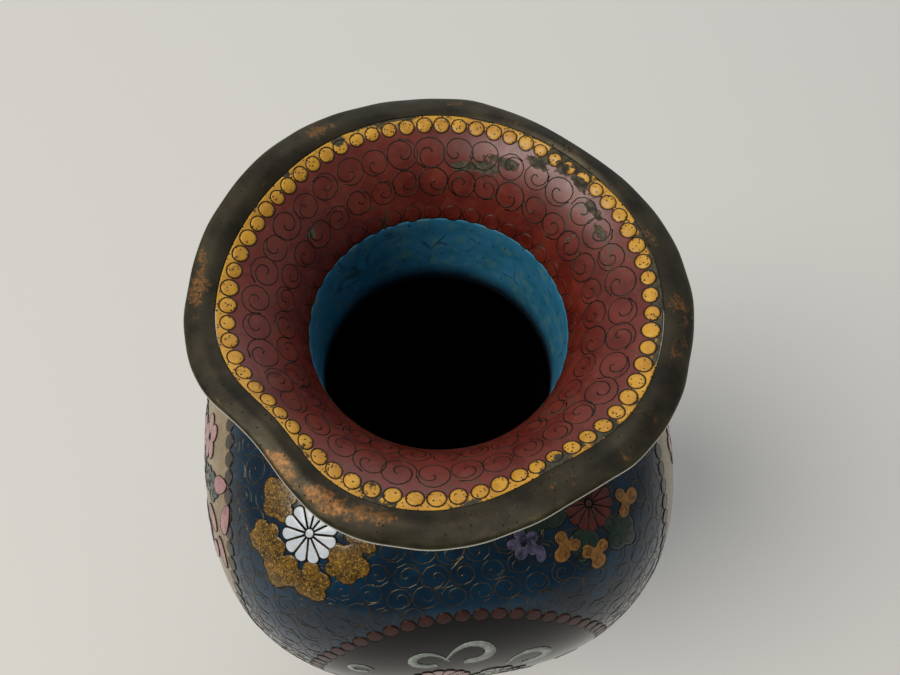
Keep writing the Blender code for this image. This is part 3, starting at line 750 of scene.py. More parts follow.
def makeRowTree():
    # one row of motifs round the wall, a little irregular as if set by hand
    tree, given, out = newTree("rowRoundWall", workInputs + (
        ("Motifs", "Collection", None), ("Count", "Int", 10), ("Kinds", "Int", 1), ("Girth", "Float", 1.0),
        ("Row", "Float", 0.0), ("Start", "Float", 0.0), ("Size Play", "Float", 0.0),
        ("Place Play", "Float", 0.0), ("Turn Play", "Float", 3.2), ("Seed", "Int", 1)))
    seed = given["Seed"]
    line = addNode(tree, "GeometryNodeMeshLine", {"Count": given["Count"]})
    index = addNode(tree, "GeometryNodeInputIndex").outputs[0]
    share = calc(tree, calc(tree, index, given["Start"]), given["Count"], "DIVIDE")
    play = given["Place Play"]
    back = calc(tree, play, -1.0, "MULTIPLY")
    across = calc(tree, calc(tree, share, given["Girth"], "MULTIPLY"), randomIn(tree, back, play, seed, 11))
    up = calc(tree, given["Row"], randomIn(tree, back, play, seed, 23))
    where = addNode(tree, "ShaderNodeCombineXYZ", {0: across, 1: up}).outputs[0]
    placed = addNode(tree, "GeometryNodeSetPosition", {"Geometry": line.outputs[0], "Position": where})
    stored = addNode(tree, "GeometryNodeStoreNamedAttribute", {
        "Geometry": placed.outputs[0], "Name": "girth"}, data_type="FLOAT", domain="POINT")
    tree.links.new(given["Girth"], stored.inputs["Value"])
    less = calc(tree, 1.0, given["Size Play"], "SUBTRACT")
    more = calc(tree, 1.0, given["Size Play"])
    size = randomIn(tree, less, more, seed, 37)
    turnBack = calc(tree, given["Turn Play"], -1.0, "MULTIPLY")
    turn = randomIn(tree, turnBack, given["Turn Play"], seed, 51)
    kind = randomIn(tree, 0, calc(tree, given["Kinds"], 1.0, "SUBTRACT"), seed, 67, whole=True)
    laid = instanceOn(tree, stored.outputs[0], given, kind, turn, size)
    return layOnWall(tree, laid, given, out)


plateTree = makePlateTree()
scatterTree = makeScatterTree()
rowTree = makeRowTree()


def runTree(mesh, tree, values):
    # the tree's result as a plain mesh; every input is set before the first evaluation
    item = bpy.data.objects.new("treeInput", mesh)
    step = item.modifiers.new("nodes", "NODES")
    step.node_group = tree
    names = {s.name: s.identifier for s in tree.interface.items_tree
             if s.item_type == "SOCKET" and s.in_out == "INPUT"}
    for label, value in values.items():
        step[names[label]] = value
    bpy.context.scene.collection.objects.link(item)
    graph = bpy.context.evaluated_depsgraph_get()
    made = bpy.data.meshes.new_from_object(item.evaluated_get(graph))
    bpy.data.objects.remove(item)
    for layer in list(made.attributes):
        if layer.name in ("girth", "kind", "turn", "size"):
            made.attributes.remove(layer)
    return made


def wrapValues(carrier, material, lift=0.0):
    return {"Carrier": carrier["item"], "Wall Length": carrier["total"], "Lift": lift,
            "Material": finish[material]}


def joined(name, meshes):
    # several meshes as one piece; the first one's material stays in slot 0
    vertices, faces, slots, materials = [], [], [], []
    for mesh in meshes:
        base = len(vertices)
        index = {}
        for i, material in enumerate(mesh.materials):
            if material not in materials:
                materials.append(material)
            index[i] = materials.index(material)
        vertices += [v.co.copy() for v in mesh.vertices]
        for face in mesh.polygons:
            faces.append([base + v for v in face.vertices])
            slots.append(index.get(face.material_index, 0))
    whole = meshFrom(name, vertices, faces)
    for material in materials:
        whole.materials.append(material)
    whole.polygons.foreach_set("material_index", slots)
    return whole


# flat artwork: every motif is drawn flat, with Z as its height above the enamel

def collectionOf(name, meshes):
    group = bpy.data.collections.new(name)
    for i, mesh in enumerate(meshes):
        item = bpy.data.objects.new("%s_%02d" % (name, i), mesh)
        group.objects.link(item)
    return group


def ribbonParts(path, width, height, closed=False, sink=0.06 * mm):
    # a thin raised wire along a flat path: two sloping faces and a flat underside
    path = np.array(path, float)
    count = len(path)
    if closed:
        run = np.roll(path, -1, 0) - np.roll(path, 1, 0)
    else:
        run = np.gradient(path, axis=0)
    run /= np.linalg.norm(run, axis=1)[:, None] + 1e-12
    side = np.stack([-run[:, 1], run[:, 0]], 1)
    widths = np.broadcast_to(np.asarray(width, float), (count,))[:, None] / 2
    left, right = path + side * widths, path - side * widths
    vertices = [(*left[i], -sink) for i in range(count)] + [(*path[i], height) for i in range(count)]
    vertices += [(*right[i], -sink) for i in range(count)]
    faces = []
    for i in range(count if closed else count - 1):
        j = (i + 1) % count
        faces += [(i, count + i, count + j, j), (count + i, 2 * count + i, 2 * count + j, count + j),
                  (2 * count + i, i, j, 2 * count + j)]
    if not closed:
        faces += [(0, 2 * count, count), (count - 1, 2 * count - 1, 3 * count - 1)]
    return vertices, faces


def padParts(outline, height, dome=0.0, sink=0.05 * mm, inset=0.86):
    # a flat pad of enamel with a softly rounded top, closed underneath; the outline runs anticlockwise
    outline = np.array(outline, float)
    centre = outline.mean(0)
    count = len(outline)
    vertices, faces = [], []
    for scale, level in ((1.0, -sink), (1.0, height), (inset, height + dome * 0.6), (0.5, height + dome)):
        ring = centre + (outline - centre) * scale
        vertices += [(*p, level) for p in ring]
    vertices += [(*centre, height + dome), (*centre, -sink)]
    for k in range(3):
        for i in range(count):
            j = (i + 1) % count
            faces.append((k * count + i, k * count + j, (k + 1) * count + j, (k + 1) * count + i))
    for i in range(count):
        j = (i + 1) % count
        faces += [(3 * count + i, 3 * count + j, 4 * count), (j, i, 4 * count + 1)]
    return vertices, faces


def mergedParts(parts):
    vertices, faces = [], []
    for some, joins in parts:
        base = len(vertices)
        vertices += list(some)
        faces += [tuple(base + v for v in face) for face in joins]
    return vertices, faces


def circlePath(radius, count, centre=(0, 0), squash=1.0, start=0.0):
    turn = start + np.arange(count) * 2 * math.pi / count
    return np.stack([centre[0] + radius * np.cos(turn), centre[1] + radius * squash * np.sin(turn)], 1)


def scrollPath(radius, shape, points, hand):
    # an e-shaped scroll: a closed outer loop that dives in to a small hook
    turns, hook, dive, end = shape
    t = np.linspace(0, 1, points) ** 0.86
    swing = hand * 2 * math.pi * turns * t
    toHook = (1 - hook) * ramp(t, dive, dive + 0.3)
    toEnd = (hook - end) * ramp(t, dive + 0.22, 1.02)
    reach = radius * (1 - toHook - toEnd)
    return np.stack([reach * np.cos(swing), reach * np.sin(swing)], 1)


wire = {"width": 0.36 * mm, "height": 0.07 * mm}


def scrollMeshes(name, look):
    # each shape in both hands, at its real size
    meshes = []
    for shape in look["shapes"]:
        for hand in (1, -1):
            path = scrollPath(look["radius"], shape, look["points"], hand)
            vertices, faces = ribbonParts(path, wire["width"] * look["wide"], wire["height"])
            meshes.append(meshFrom("%s%d" % (name, len(meshes)), vertices, faces, smooth=False))
    return meshes


def ringMeshes(name, radius, wide, squash, count=18):
    meshes = []
    for ratio in squash:
        path = circlePath(radius, count, squash=ratio)
        vertices, faces = ribbonParts(path, wire["width"] * wide, wire["height"], True)
        meshes.append(meshFrom("%s%d" % (name, len(meshes)), vertices, faces, smooth=False))
    return meshes


def beadMeshes(name, radius, height, dome, count=14, squash=(1.0,)):
    meshes = []
    for ratio in squash:
        outline = circlePath(radius, count, squash=ratio)
        vertices, faces = padParts(outline, height, dome)
        meshes.append(meshFrom("%s%d" % (name, len(meshes)), vertices, faces))
    return meshes


# the mouth: red scroll ground, yellow beads and the turquoise lining

def paintAttribute(mesh, name, values):
    mesh.attributes.new(name, "FLOAT", "POINT").data.foreach_set("value", np.array(values, np.float32))


def coordsOf(mesh):
    places = np.zeros(len(mesh.vertices) * 3)
    mesh.vertices.foreach_get("co", places)
    return places.reshape(-1, 3)


# azimuth, radius, spread along the ring and across it in mm, strength
wearSpots = (
    (84, 34.8, 3.6, 1.0, 1.05), (76, 35.2, 3.6, 1.1, 1.1), (68, 36.8, 3.6, 1.2, 1.05),
    (60, 38.8, 3.8, 1.3, 1.1), (52, 40.2, 4.0, 1.4, 1.1), (43, 40.2, 3.6, 1.3, 1.0),
    (35, 38.8, 3.4, 1.1, 1.0), (27, 37.6, 3.4, 1.0, 0.9), (17, 36.2, 3.4, 0.9, 0.85),
    (8, 34.5, 3.0, 0.9, 0.8), (36, 34, 4, 3, 0.4), (-4, 38.5, 2.5, 0.9, 0.75), (150, 33, 2.5, 1.0, 0.8),
    (112, 44.4, 12, 0.8, 1.2), (75, 44.4, 9, 0.8, 1.2), (150, 44.5, 5, 0.6, 0.9),
    (20, 44.4, 10, 0.8, 1.1), (-15, 44.4, 8, 0.8, 1.0), (-50, 44.3, 8, 0.8, 1.0),
    (-80, 44.4, 8, 0.6, 0.9), (75, 36, 4, 3, 0.45), (20, 37, 4, 3, 0.4), (-43, 42, 5, 1.5, 0.6),
    (-62, 42.5, 5, 1.2, 0.55), (-124, 42, 4, 1.4, 0.6), (105, 36, 3, 1.2, 0.45),
    (140, 31, 3, 1.2, 0.35), (190, 41.5, 5, 1.5, 0.3), (8, 42.5, 6, 1.3, 0.45),
    (124, 42.7, 1.9, 2.0, 1.3), (143, 42.7, 1.7, 1.8, 1.2), (-56, 42.5, 2.4, 2.2, 1.3),
    (-116, 42.6, 1.6, 1.6, 0.9), (47, 42.5, 2.4, 2.0, 0.9), (-22, 42.5, 2, 1.6, 0.7),
    (-97, 42.6, 3, 1.6, 0.6), (165, 42.8, 2, 1.5, 0.6),
)
rubSpots = (
    (183, 48, 6, 2.2, 0.62), (174, 48.2, 3, 1.4, 0.36), (126, 46.5, 4, 1.4, 0.3),
    (-126, 46.5, 3.5, 1.6, 0.6), (-114, 47.5, 5, 1.8, 0.62), (-100, 47, 6, 1.5, 0.46),
    (-85, 46.5, 6, 1.2, 0.3), (-5, 48, 12, 2.5, 0.2),
)


def wearAt(places, spots):
    azimuth = np.degrees(np.arctan2(places[:, 1], places[:, 0]))
    radius = np.hypot(places[:, 0], places[:, 1]) * 1000
    total = np.zeros(len(places))
    for turn, ring, wide, deep, strength in spots:
        along = np.radians((azimuth - turn + 180) % 360 - 180) * ring
        total = np.maximum(total, strength * np.exp(-(along / wide) ** 2 - ((radius - ring) / deep) ** 2))
    return total


def wavesAt(places, level, waves):
    # a level that rises and falls round the vase; each wave has a height, a count and a start
    turn = np.arctan2(places[:, 1], places[:, 0])
    return level + sum(height * np.sin(count * turn + start) for height, count, start in waves)


mouthLook = {
    "around": 240, "beadFrom": 0.0, "beadTo": 2.4 * mm, "redTo": 24.6 * mm, "borderStops": 8, "redStops": 50,
    # the fill between the beads and the rim is clean on the left and crumbled elsewhere
    "crumbled": (0.5, ((0.26, 1, math.pi / 2), (0.16, 7, 1), (0.12, 17, 0))),
    # every bead is a little ragged, more so towards the front and the right
    "ragged": (0.26, ((-0.08, 1, 0.6), (0.08, 5, 0))), "beadWear": 0.8,
    # the girth of a round motif over its width, one kind for each
    "squash": (1.0, 0.93, 1.05), "turnPlay": 0.5, "start": 0.35,
}
# rows of round cells: way down the wall, radius, the pad's share of it, wire width as a share
mouthRows = {
    "bead": {"along": 2.3 * mm, "count": 68, "radius": 1.74 * mm, "pad": 0.9, "height": 0.02 * mm,
             "dome": 0.14 * mm, "wide": 1.6, "enamel": "yellowEnamel", "sizePlay": 0.06,
             "placePlay": 0.12 * mm, "seed": 3},
    "circle": {"along": 22.8 * mm, "count": 39, "radius": 2.0 * mm, "pad": 1.0, "height": 0.03 * mm,
               "dome": 0.02 * mm, "wide": 1.4, "enamel": "redEnamel", "sizePlay": 0.05,
               "placePlay": 0.1 * mm, "seed": 4},
}
redScrolls = {
    # way down the wall, count, scroll radius, seed
    "rows": ((8.2 * mm, 37, 3.2 * mm, 5), (15.2 * mm, 34, 3.0 * mm, 8)),
    # turns, the hook's radius, where the dive starts and the radius at the end, as shares
    "shapes": ((1.8, 0.5, 0.48, 0.06), (1.65, 0.46, 0.52, 0.18), (2.0, 0.55, 0.42, 0.02),
               (1.5, 0.42, 0.56, -0.12), (1.75, 0.6, 0.4, 0.2)),
    "points": 28, "wide": 1.55, "sizePlay": 0.1, "placePlay": 0.45 * mm, "turnPlay": 3.14, "start": 0.37,
}


def lengthOnOuter(carrier, along):
    return float(np.interp(along, carrier["along"], carrier["lengths"]))


def withMaterial(mesh, name):
    mesh.materials.clear()
    mesh.materials.append(finish[name])
    return mesh


def runRow(name, motifs, material, along, values):
    # one row of motifs round the mouth
    values = dict(values, **wrapValues(mouthCarrier, material))
    values.update({"Motifs": collectionOf(name, motifs), "Kinds": len(motifs), "Row": along,
                   "Girth": girthAt(mouthCarrier, along)})
    return runTree(bpy.data.meshes.new("empty"), rowTree, values)


def roundRow(name, part):
    # pads and wires of a row share its seed, so they coincide
    look, row, squash = mouthLook, mouthRows[name], mouthLook["squash"]
    if part == "Pad":
        radius, material = row["radius"] * row["pad"], row["enamel"]
        motifs = beadMeshes(name + part, radius, row["height"], row["dome"], squash=squash)
    else:
        material = "tarnishedWire"
        motifs = ringMeshes(name + part, row["radius"], row["wide"], squash)
    return runRow(name + part, motifs, material, row["along"], {
        "Count": row["count"], "Start": look["start"], "Size Play": row["sizePlay"],
        "Place Play": row["placePlay"], "Turn Play": look["turnPlay"], "Seed": row["seed"]})


def makeMouth(look):
    def strip(name, start, end, stops):
        start, end = lengthOnOuter(mouthCarrier, start), lengthOnOuter(mouthCarrier, end)
        return layerMesh(name, start, end, innerDepth, look["around"], stops)

    border = strip("mouthBeadBorder", look["beadFrom"], look["beadTo"], look["borderStops"])
    places = coordsOf(border)
    crumbled = wavesAt(places, *look["crumbled"])
    paintAttribute(border, "wear", np.maximum(wearAt(places, wearSpots), crumbled))
    piece = addObject("mouthBeadBorder", border, finish["yellowEnamel"])
    finishPiece(piece, "yellow_enamel", "mouth_bead_border")

    # the red ground ends in a scalloped line round the last row of circles
    red = strip("mouthRedEnamel", look["beadTo"], look["redTo"], look["redStops"])
    whole = joined("mouthRedEnamel", [withMaterial(red, "redEnamel"), roundRow("circle", "Pad")])
    paintAttribute(whole, "wear", wearAt(coordsOf(whole), wearSpots))
    finishPiece(addObject("mouthRedEnamel", whole), "red_enamel", "mouth_red_enamel")


def makeMouthBeads(look):
    beads = roundRow("bead", "Pad")
    places = coordsOf(beads)
    worn = wearAt(places, wearSpots) * look["beadWear"]
    paintAttribute(beads, "wear", np.maximum(worn, wavesAt(places, *look["ragged"])))
    finishPiece(addObject("mouthBeads", beads), "yellow_enamel")


def makeMouthWires(look):
    meshes = []
    for along, count, radius, seed in look["rows"]:
        motifs = scrollMeshes("redScroll%d_" % seed, dict(look, radius=radius))
        meshes.append(runRow("redScrolls%d" % seed, motifs, "tarnishedWire", along, {
            "Count": count, "Start": seed * look["start"], "Size Play": look["sizePlay"],
            "Place Play": look["placePlay"], "Turn Play": look["turnPlay"], "Seed": seed}))
    meshes += [roundRow("bead", "Ring"), roundRow("circle", "Ring")]
    piece = addObject("mouthWires", joined("mouthWires", meshes))
    finishPiece(piece, "brass_wire", "mouth_inner_wire", "mouth_edge_wire")


# the neck's painted shade deepens from the upper of its two heights down to the lower
liningLook = {"around": 192, "stops": 40, "uprightStops": 30, "lipStops": 8, "throatLip": 238.3 * mm,
              "lipRound": 0.4 * mm, "neckShadeFrom": 247.5 * mm, "neckShadeTo": 238.5 * mm,
              "bodyFrom": 0.3 * mm, "bodyTo": 3.2 * mm, "bodyAround": 96, "bodyStops": 70}


def makeLinings(look):
    # the neck's lining lies on the wall, but its inner face runs straight down to a lip
    start = lengthOnOuter(mouthCarrier, mouthLook["redTo"])
    outer = np.linspace(start, marks["shoulder"], look["stops"])
    outer = np.stack(wallProfile(outer, innerDepth[0]), 1)
    upright = np.linspace(marks["neckFoot"], start, look["uprightStops"])
    inner = np.stack(wallProfile(upright, innerDepth[1]), 1)
    throat, lip = wallShape["neckR"] - wallShape["thick"], look["throatLip"]
    joint = np.stack(wallProfile([marks["shoulder"]], innerDepth[1]), 1)
    edge = np.array([(throat + look["lipRound"], lip - look["lipRound"]), (throat, lip)])
    down = np.linspace(lip, wallShape["neckFootZ"], look["lipStops"])[1:-1]
    straight = np.stack([np.full(len(down), throat), down], 1)
    neck = ringMesh("neckLining", np.concatenate([outer, joint, edge, straight, inner]), look["around"])
    # painted shade: darker the deeper down the neck
    paintAttribute(neck, "neckShade", ramp(-coordsOf(neck)[:, 2], -look["neckShadeFrom"], -look["neckShadeTo"]))
    piece = addObject("neckLining", neck, finish["turquoiseEnamel"])
    finishPiece(piece, "turquoise_enamel", "neck_lining_enamel")
    body = layerMesh("bodyLining", marks["shoulder"] + look["bodyFrom"], marks["foot"] - look["bodyTo"],
                     innerDepth, look["bodyAround"], look["bodyStops"])
    # painted shade: the hollow of the body is given a near-black lining
    piece = addObject("bodyLining", body, finish["shadeBlackLining"])
    finishPiece(piece, "turquoise_enamel", "body_lining_enamel")


# the rim band: crowned on top, rounded at the lip and pinched with the mouth

rimLook = {
    "around": 288, "steps": 4, "crownZ": 280.8 * mm, "edgeZ": 278.3 * mm,
    # where the band meets the enamel and the underside, in from their first points
    "topIn": (0.05 * mm, 0.08 * mm), "lowIn": (0.4 * mm, 0.02 * mm),
    # radius and rise in mm over the crown, then over the edge
    "crown": ((46.4, 0.0), (47.8, -0.12), (49.2, -0.65)),
    "lip": ((50.4, 1.25), (51.1, 0.75), (51.5, 0.1), (51.4, -0.5), (50.8, -0.95), (50.2, -1.1),
            (48.4, -0.95)),
    # hammered unevenness in mm, outwards and up, between these radii
    "outWaves": ((0.12, 9, 0.6), (0.09, 17, 2.0), (0.05, 31, 0.0)), "upWaves": ((0.1, 13, 1.0),),
    "unevenR": (46 * mm, 51 * mm),
    # shares of the way round the band's section: the verdigris tint and the polished lip with its painted
    # highlight
    "edgeShares": (0.32, 0.5), "polishHighlightShares": (0.49, 0.53, 0.57, 0.62),
}


def smoothLine(keys, steps):
    fine = []
    for i in range(len(keys) - 1):
        before, after = keys[max(i - 1, 0)], keys[min(i + 2, len(keys) - 1)]
        a = (keys[i + 1] - before) / 2
        b = (after - keys[i]) / 2
        for t in np.arange(steps) / steps:
            h = t * t * (3 - 2 * t)
            fine.append(keys[i] + (keys[i + 1] - keys[i]) * h + a * t * (1 - t) ** 2 - b * t * t * (1 - t))
    return np.array(fine + [keys[-1]])


def makeRim(look):
    carrier = mouthCarrier
    # top face from the inner edge out, the round lip, and back underneath
    keys = [(carrier["radius"][0] + look["topIn"][0], carrier["z"][0] + look["topIn"][1])]
    keys += [(radius * mm, look["crownZ"] + up * mm) for radius, up in look["crown"]]
    keys += [(radius * mm, look["edgeZ"] + up * mm) for radius, up in look["lip"]]
    keys.append((linePoints[0][0] + look["lowIn"][0], linePoints[0][1] + look["lowIn"][1]))
    fine = smoothLine(np.array(keys), look["steps"])
    mesh = ringMesh("rimBand", fine, look["around"])
    places = coordsOf(mesh)
    turn = np.arctan2(places[:, 1], places[:, 0])
    outer = ramp(np.hypot(places[:, 0], places[:, 1]), *look["unevenR"]) * mm
    out, up = wavesAt(places, 0.0, look["outWaves"]) * outer, wavesAt(places, 0.0, look["upWaves"]) * outer
    places += np.stack([np.cos(turn) * out, np.sin(turn) * out, up], 1)
    mesh.vertices.foreach_set("co", places.ravel())
    mesh.update()
    share = np.arange(len(fine)) / len(fine)
    # painted highlight along the polished lip
    start, full, low, end = look["polishHighlightShares"]
    polishHighlight = ramp(share, start, full) * ramp(-share, -end, -low)
    paintAttribute(mesh, "edge", np.tile(ramp(share, *look["edgeShares"]), look["around"]))
    paintAttribute(mesh, "polishHighlight", np.tile(polishHighlight, look["around"]))
    paintAttribute(mesh, "rub", wearAt(places, rubSpots))
    finishPiece(addObject("rimBand", mesh, finish["patinatedBrass"]), "patinated_brass", "rim_band")


# the outside: blue ground, flare underside, foot

outsideLook = {"around": 240, "neckWire": 0.5 * mm, "borderHeight": 8.0 * mm, "rimGap": 0.3 * mm,
               "lowWire": 0.6 * mm, "wireCrown": (0.0, 0.09 * mm, 0.09 * mm, 0.0), "wireDepth": 0.3 * mm}


def makeOutside(look):
    wireAt = lengthOnOuterBody(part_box("neck_base_wire"))
    footWireAt = marks["foot"] - look["borderHeight"] - look["neckWire"]
    for name, start, end, stops, enamel, slot, node in (
            ("flareUnderside", look["rimGap"], wireAt, 70, "blueEnamel", "blue_enamel",
             "flare_underside_enamel"),
            ("bodyGround", wireAt, footWireAt, 120, "blueEnamel", "blue_enamel", "body_ground_enamel"),
            ("footBorder", footWireAt, marks["foot"], 10, "brownEnamel", "brown_enamel",
             "foot_border_enamel")):
        mesh = layerMesh(name, start, end, outerDepth, look["around"], stops)
        finishPiece(addObject(name, mesh, finish[enamel]), slot, node)
    rings = []
    for at in (wireAt, footWireAt, marks["foot"] - look["lowWire"]):
        stops = np.linspace(at, at + look["neckWire"], len(look["wireCrown"]))
        outer = [[axis[0] for axis in wallProfile([s], -c)] for s, c in zip(stops, look["wireCrown"])]
        inner = [[axis[0] for axis in wallProfile([s], look["wireDepth"])] for s in stops[::-1]]
        rings.append(withMaterial(ringMesh("ring", np.array(outer + inner), look["around"]), "brightWire"))
    piece = addObject("borderWires", joined("borderWires", rings))
    finishPiece(piece, "brass_wire", "neck_base_wire", "foot_border_wire")


def lengthOnOuterBody(nodeBox):
    # where a wire ring lies along the outer line, from its height in the frame
    z = (nodeBox[0].z + nodeBox[1].z) / 2
    order = np.argsort(linePoints[:, 1])
    return float(np.interp(z, linePoints[order, 1], lineLengths[order]))


footLook = {"around": 160, "waistR": 40.9 * mm, "outerR": 42.0 * mm, "innerR": 37.6 * mm}


def makeFoot(look):
    low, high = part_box("foot_ring")
    h = high.z - low.z
    waist, outer, inner = look["waistR"], look["outerR"], look["innerR"]
    profile = [(waist - 0.3 * mm, h), (waist, h - 0.3 * mm), (waist, h * 0.72), (waist - 0.15 * mm, h * 0.62)]
    profile += [(waist + (outer - waist) * t ** 1.6, h * (0.6 - 0.45 * t)) for t in np.linspace(0.1, 1, 7)]
    profile += [(outer, 0.9 * mm), (outer - 0.2 * mm, 0.3 * mm), (outer - 0.6 * mm, 0.0),
                (inner + 0.6 * mm, 0.0), (inner + 0.1 * mm, 0.3 * mm), (inner, 0.7 * mm), (inner, h)]
    mesh = ringMesh("footRing", np.array(profile), look["around"])
    paintAttribute(mesh, "edge", ramp(-coordsOf(mesh)[:, 2], -2.5 * mm, 0.0))
    finishPiece(addObject("footRing", mesh, finish["patinatedBrass"]), "patinated_brass", "foot_ring")


makeMouth(mouthLook)
makeMouthBeads(mouthLook)
makeMouthWires(redScrolls)
makeLinings(liningLook)
makeRim(rimLook)
makeOutside(outsideLook)
makeFoot(footLook)
print("mouth, rim, outside and foot made")


# the body's decoration: panels on the flat sides, sprigs on the corners, scrolls between them

panelLook = {
    "centreZ": 185 * mm, "drop": 115 * mm, "powerUp": 2.2, "powerDown": 1.5,
    "lift": 0.1 * mm, "thick": 0.3 * mm, "rings": 26, "around": 132, "crowding": 1.15, "crease": 50,
    # no panel reaches further round the vase than this, in degrees
    "reach": 75,
    "beadPitch": 4.1 * mm, "beadR": 1.78 * mm, "ringR": 1.95 * mm,
    # side, azimuth, half width, rise above the centre, ground, beads
    "sides": (("front", -81.5, 38 * mm, 41 * mm, "blackEnamel", "brownEnamel"),
              ("right", 8.5, 46 * mm, 45 * mm, "tanEnamel", "darkBrownEnamel"),
              ("back", 98.5, 38 * mm, 41 * mm, "blackEnamel", "brownEnamel"),
              ("left", 188.5, 46 * mm, 45 * mm, "tanEnamel", "darkBrownEnamel")),
}

onBody = lineLengths >= marks["shoulder"]
bodyZ, bodyR = linePoints[onBody, 1][::-1], linePoints[onBody, 0][::-1]


def sideRadius(z, away):
    # radius of the outer face at this height, this many degrees away from a panel's middle
    radius = np.interp(z, bodyZ, bodyR)
    return radius * (1 - squareAt(radius, z) * np.cos(np.radians(4 * away)))


def panelAzimuth(middle, across, z):
    # azimuth at which the wall stands this far across from the panel's middle line
    away = np.zeros_like(across)
    for _ in range(8):
        away = np.degrees(np.arcsin(np.clip(across / sideRadius(z, away), -0.98, 0.98)))
    return middle + away


def panelOutline(look, halfWidth, rise, grow, count):
    turn = np.arange(count) * 2 * math.pi / count
    c, s = np.cos(turn), np.sin(turn)
    power = np.where(s >= 0, look["powerUp"], look["powerDown"])
    height = np.where(s >= 0, rise, look["drop"]) + grow
    return (np.sign(c) * np.abs(c) ** (2 / power) * (halfWidth + grow),
            np.sign(s) * np.abs(s) ** (2 / power) * height)


def insidePanel(azimuth, z, grow):
    look = panelLook
    for side, middle, halfWidth, rise, _, _ in look["sides"]:
        away = (azimuth - middle + 180) % 360 - 180
        if abs(away) > look["reach"]:
            continue
        across = abs(float(sideRadius(z, away)) * math.sin(math.radians(away)))
        up = z - look["centreZ"]
        power = look["powerUp"] if up >= 0 else look["powerDown"]
        height = (rise if up >= 0 else look["drop"]) + grow
        if (across / (halfWidth + grow)) ** power + (abs(up) / height) ** power < 1:
            return True
    return False


def alongBody(z):
    return alongAtHeight(bodyCarrier, z)


def scatter(name, carrier, spots, motifs, material):
    # motifs laid at spots of (azimuth, way along the wall, height over it, kind, turn, size)
    girths = [girthAt(carrier, spot[1]) for spot in spots]
    places = [(spot[0] % 360 / 360 * girth, spot[1], spot[2]) for spot, girth in zip(spots, girths)]
    mesh = bpy.data.meshes.new(name)
    mesh.from_pydata(places, [], [])
    for label, kind, values in (
            ("girth", "FLOAT", girths), ("kind", "INT", [int(spot[3]) for spot in spots]),
            ("turn", "FLOAT", [math.radians(spot[4]) for spot in spots]),
            ("size", "FLOAT", [spot[5] for spot in spots])):
        mesh.attributes.new(label, kind, "POINT").data.foreach_set("value", values)
    values = wrapValues(carrier, material)
    values["Motifs"] = collectionOf(name, motifs)
    return runTree(mesh, scatterTree, values)


def makePanelPlate(look, side, middle, halfWidth, rise, ground):
    # a thin plate of enamel whose edge runs under the middle of the bead border
    across, up = panelOutline(look, halfWidth, rise, 0.0, look["around"])
    girth = 2 * math.pi * wallShape["widestR"]
    vertices = []
    scales = 1 - (np.arange(look["rings"]) / look["rings"]) ** look["crowding"]
    for level, some in ((-look["thick"], scales[::-1]), (0.0, scales)):
        for scale in some:
            z = look["centreZ"] + up * scale
            azimuth = panelAzimuth(middle, across * scale, z)
            along = [alongBody(value) for value in z]
            vertices += [(a / 360 * girth, b, level) for a, b in zip(azimuth, along)]
    around, faces = look["around"], []
    for k in range(2 * look["rings"] - 1):
        for i in range(around):
            j = (i + 1) % around
            faces.append((k * around + i, k * around + j, (k + 1) * around + j, (k + 1) * around + i))
    last = len(vertices)
    for level in (-look["thick"], 0.0):
        vertices.append((middle / 360 * girth, alongBody(look["centreZ"]), level))
    for i in range(around):
        j = (i + 1) % around
        faces += [(j, i, last), (last - around + i, last - around + j, last + 1)]
    mesh = meshFrom("panel_" + side, vertices, faces)
    paintAttribute(mesh, "girth", [girth] * len(vertices))
    plate = runTree(mesh, plateTree, wrapValues(bodyCarrier, ground, look["lift"]))
    plate.set_sharp_from_angle(angle=math.radians(look["crease"]))
    return plate


def borderSpots(look, middle, halfWidth, rise):
    # evenly spaced places for the beads along the middle of a panel's border
    across, up = panelOutline(look, halfWidth, rise, 0.0, 720)
    z = look["centreZ"] + up
    azimuth = panelAzimuth(middle, across, z)
    along = np.array([alongBody(value) for value in z])
    radius = np.hypot(*shaped(sideRadius(z, 0 * z), azimuth, z)[:, :2].T)
    across = np.radians(np.diff(azimuth, append=azimuth[0])) * radius
    steps = np.hypot(across, np.diff(along, append=along[0]))
    run = np.concatenate([[0], np.cumsum(steps)])
    count = round(run[-1] / look["beadPitch"])
    at = np.arange(count) / count * run[-1]
    azimuth, along = np.append(azimuth, azimuth[0]), np.append(along, along[0])
    return [(a, b, 0.0, 0, 0.0, 1.0) for a, b in zip(np.interp(at, run, azimuth), np.interp(at, run, along))]


def makePanels(look):
    rings = []
    for side, middle, halfWidth, rise, ground, beads in look["sides"]:
        plate = makePanelPlate(look, side, middle, halfWidth, rise, ground)
        slot = "black_enamel" if ground == "blackEnamel" else "tan_enamel"
        finishPiece(addObject("panel_%s_plate" % side, plate), slot, "panel_" + side)
        spots = borderSpots(look, middle, halfWidth, rise)
        pads = scatter("beadPads_" + side, bodyCarrier, spots,
                       beadMeshes("borderBead", look["beadR"], 0.12 * mm, 0.02 * mm, 12), beads)
        finishPiece(addObject("beads_" + side, pads), "brown_enamel", "bead_border_" + side)
        rings.append(scatter("beadRings_" + side, bodyCarrier, spots, [artRibbon(
            circlePath(look["ringR"], 16), 0.36 * mm, 0.15 * mm, True)], "tarnishedWire"))
    finishPiece(addObject("panelBeadWires", joined("panelBeadWires", rings)), "brass_wire")


# flat motifs, at their real size

artLook = {"wire": 0.34 * mm, "height": 0.17 * mm, "pad": 0.12 * mm, "dome": 0.05 * mm}


def flatMesh(name, parts):
    vertices, faces = mergedParts(parts)
    return meshFrom(name, vertices, faces)


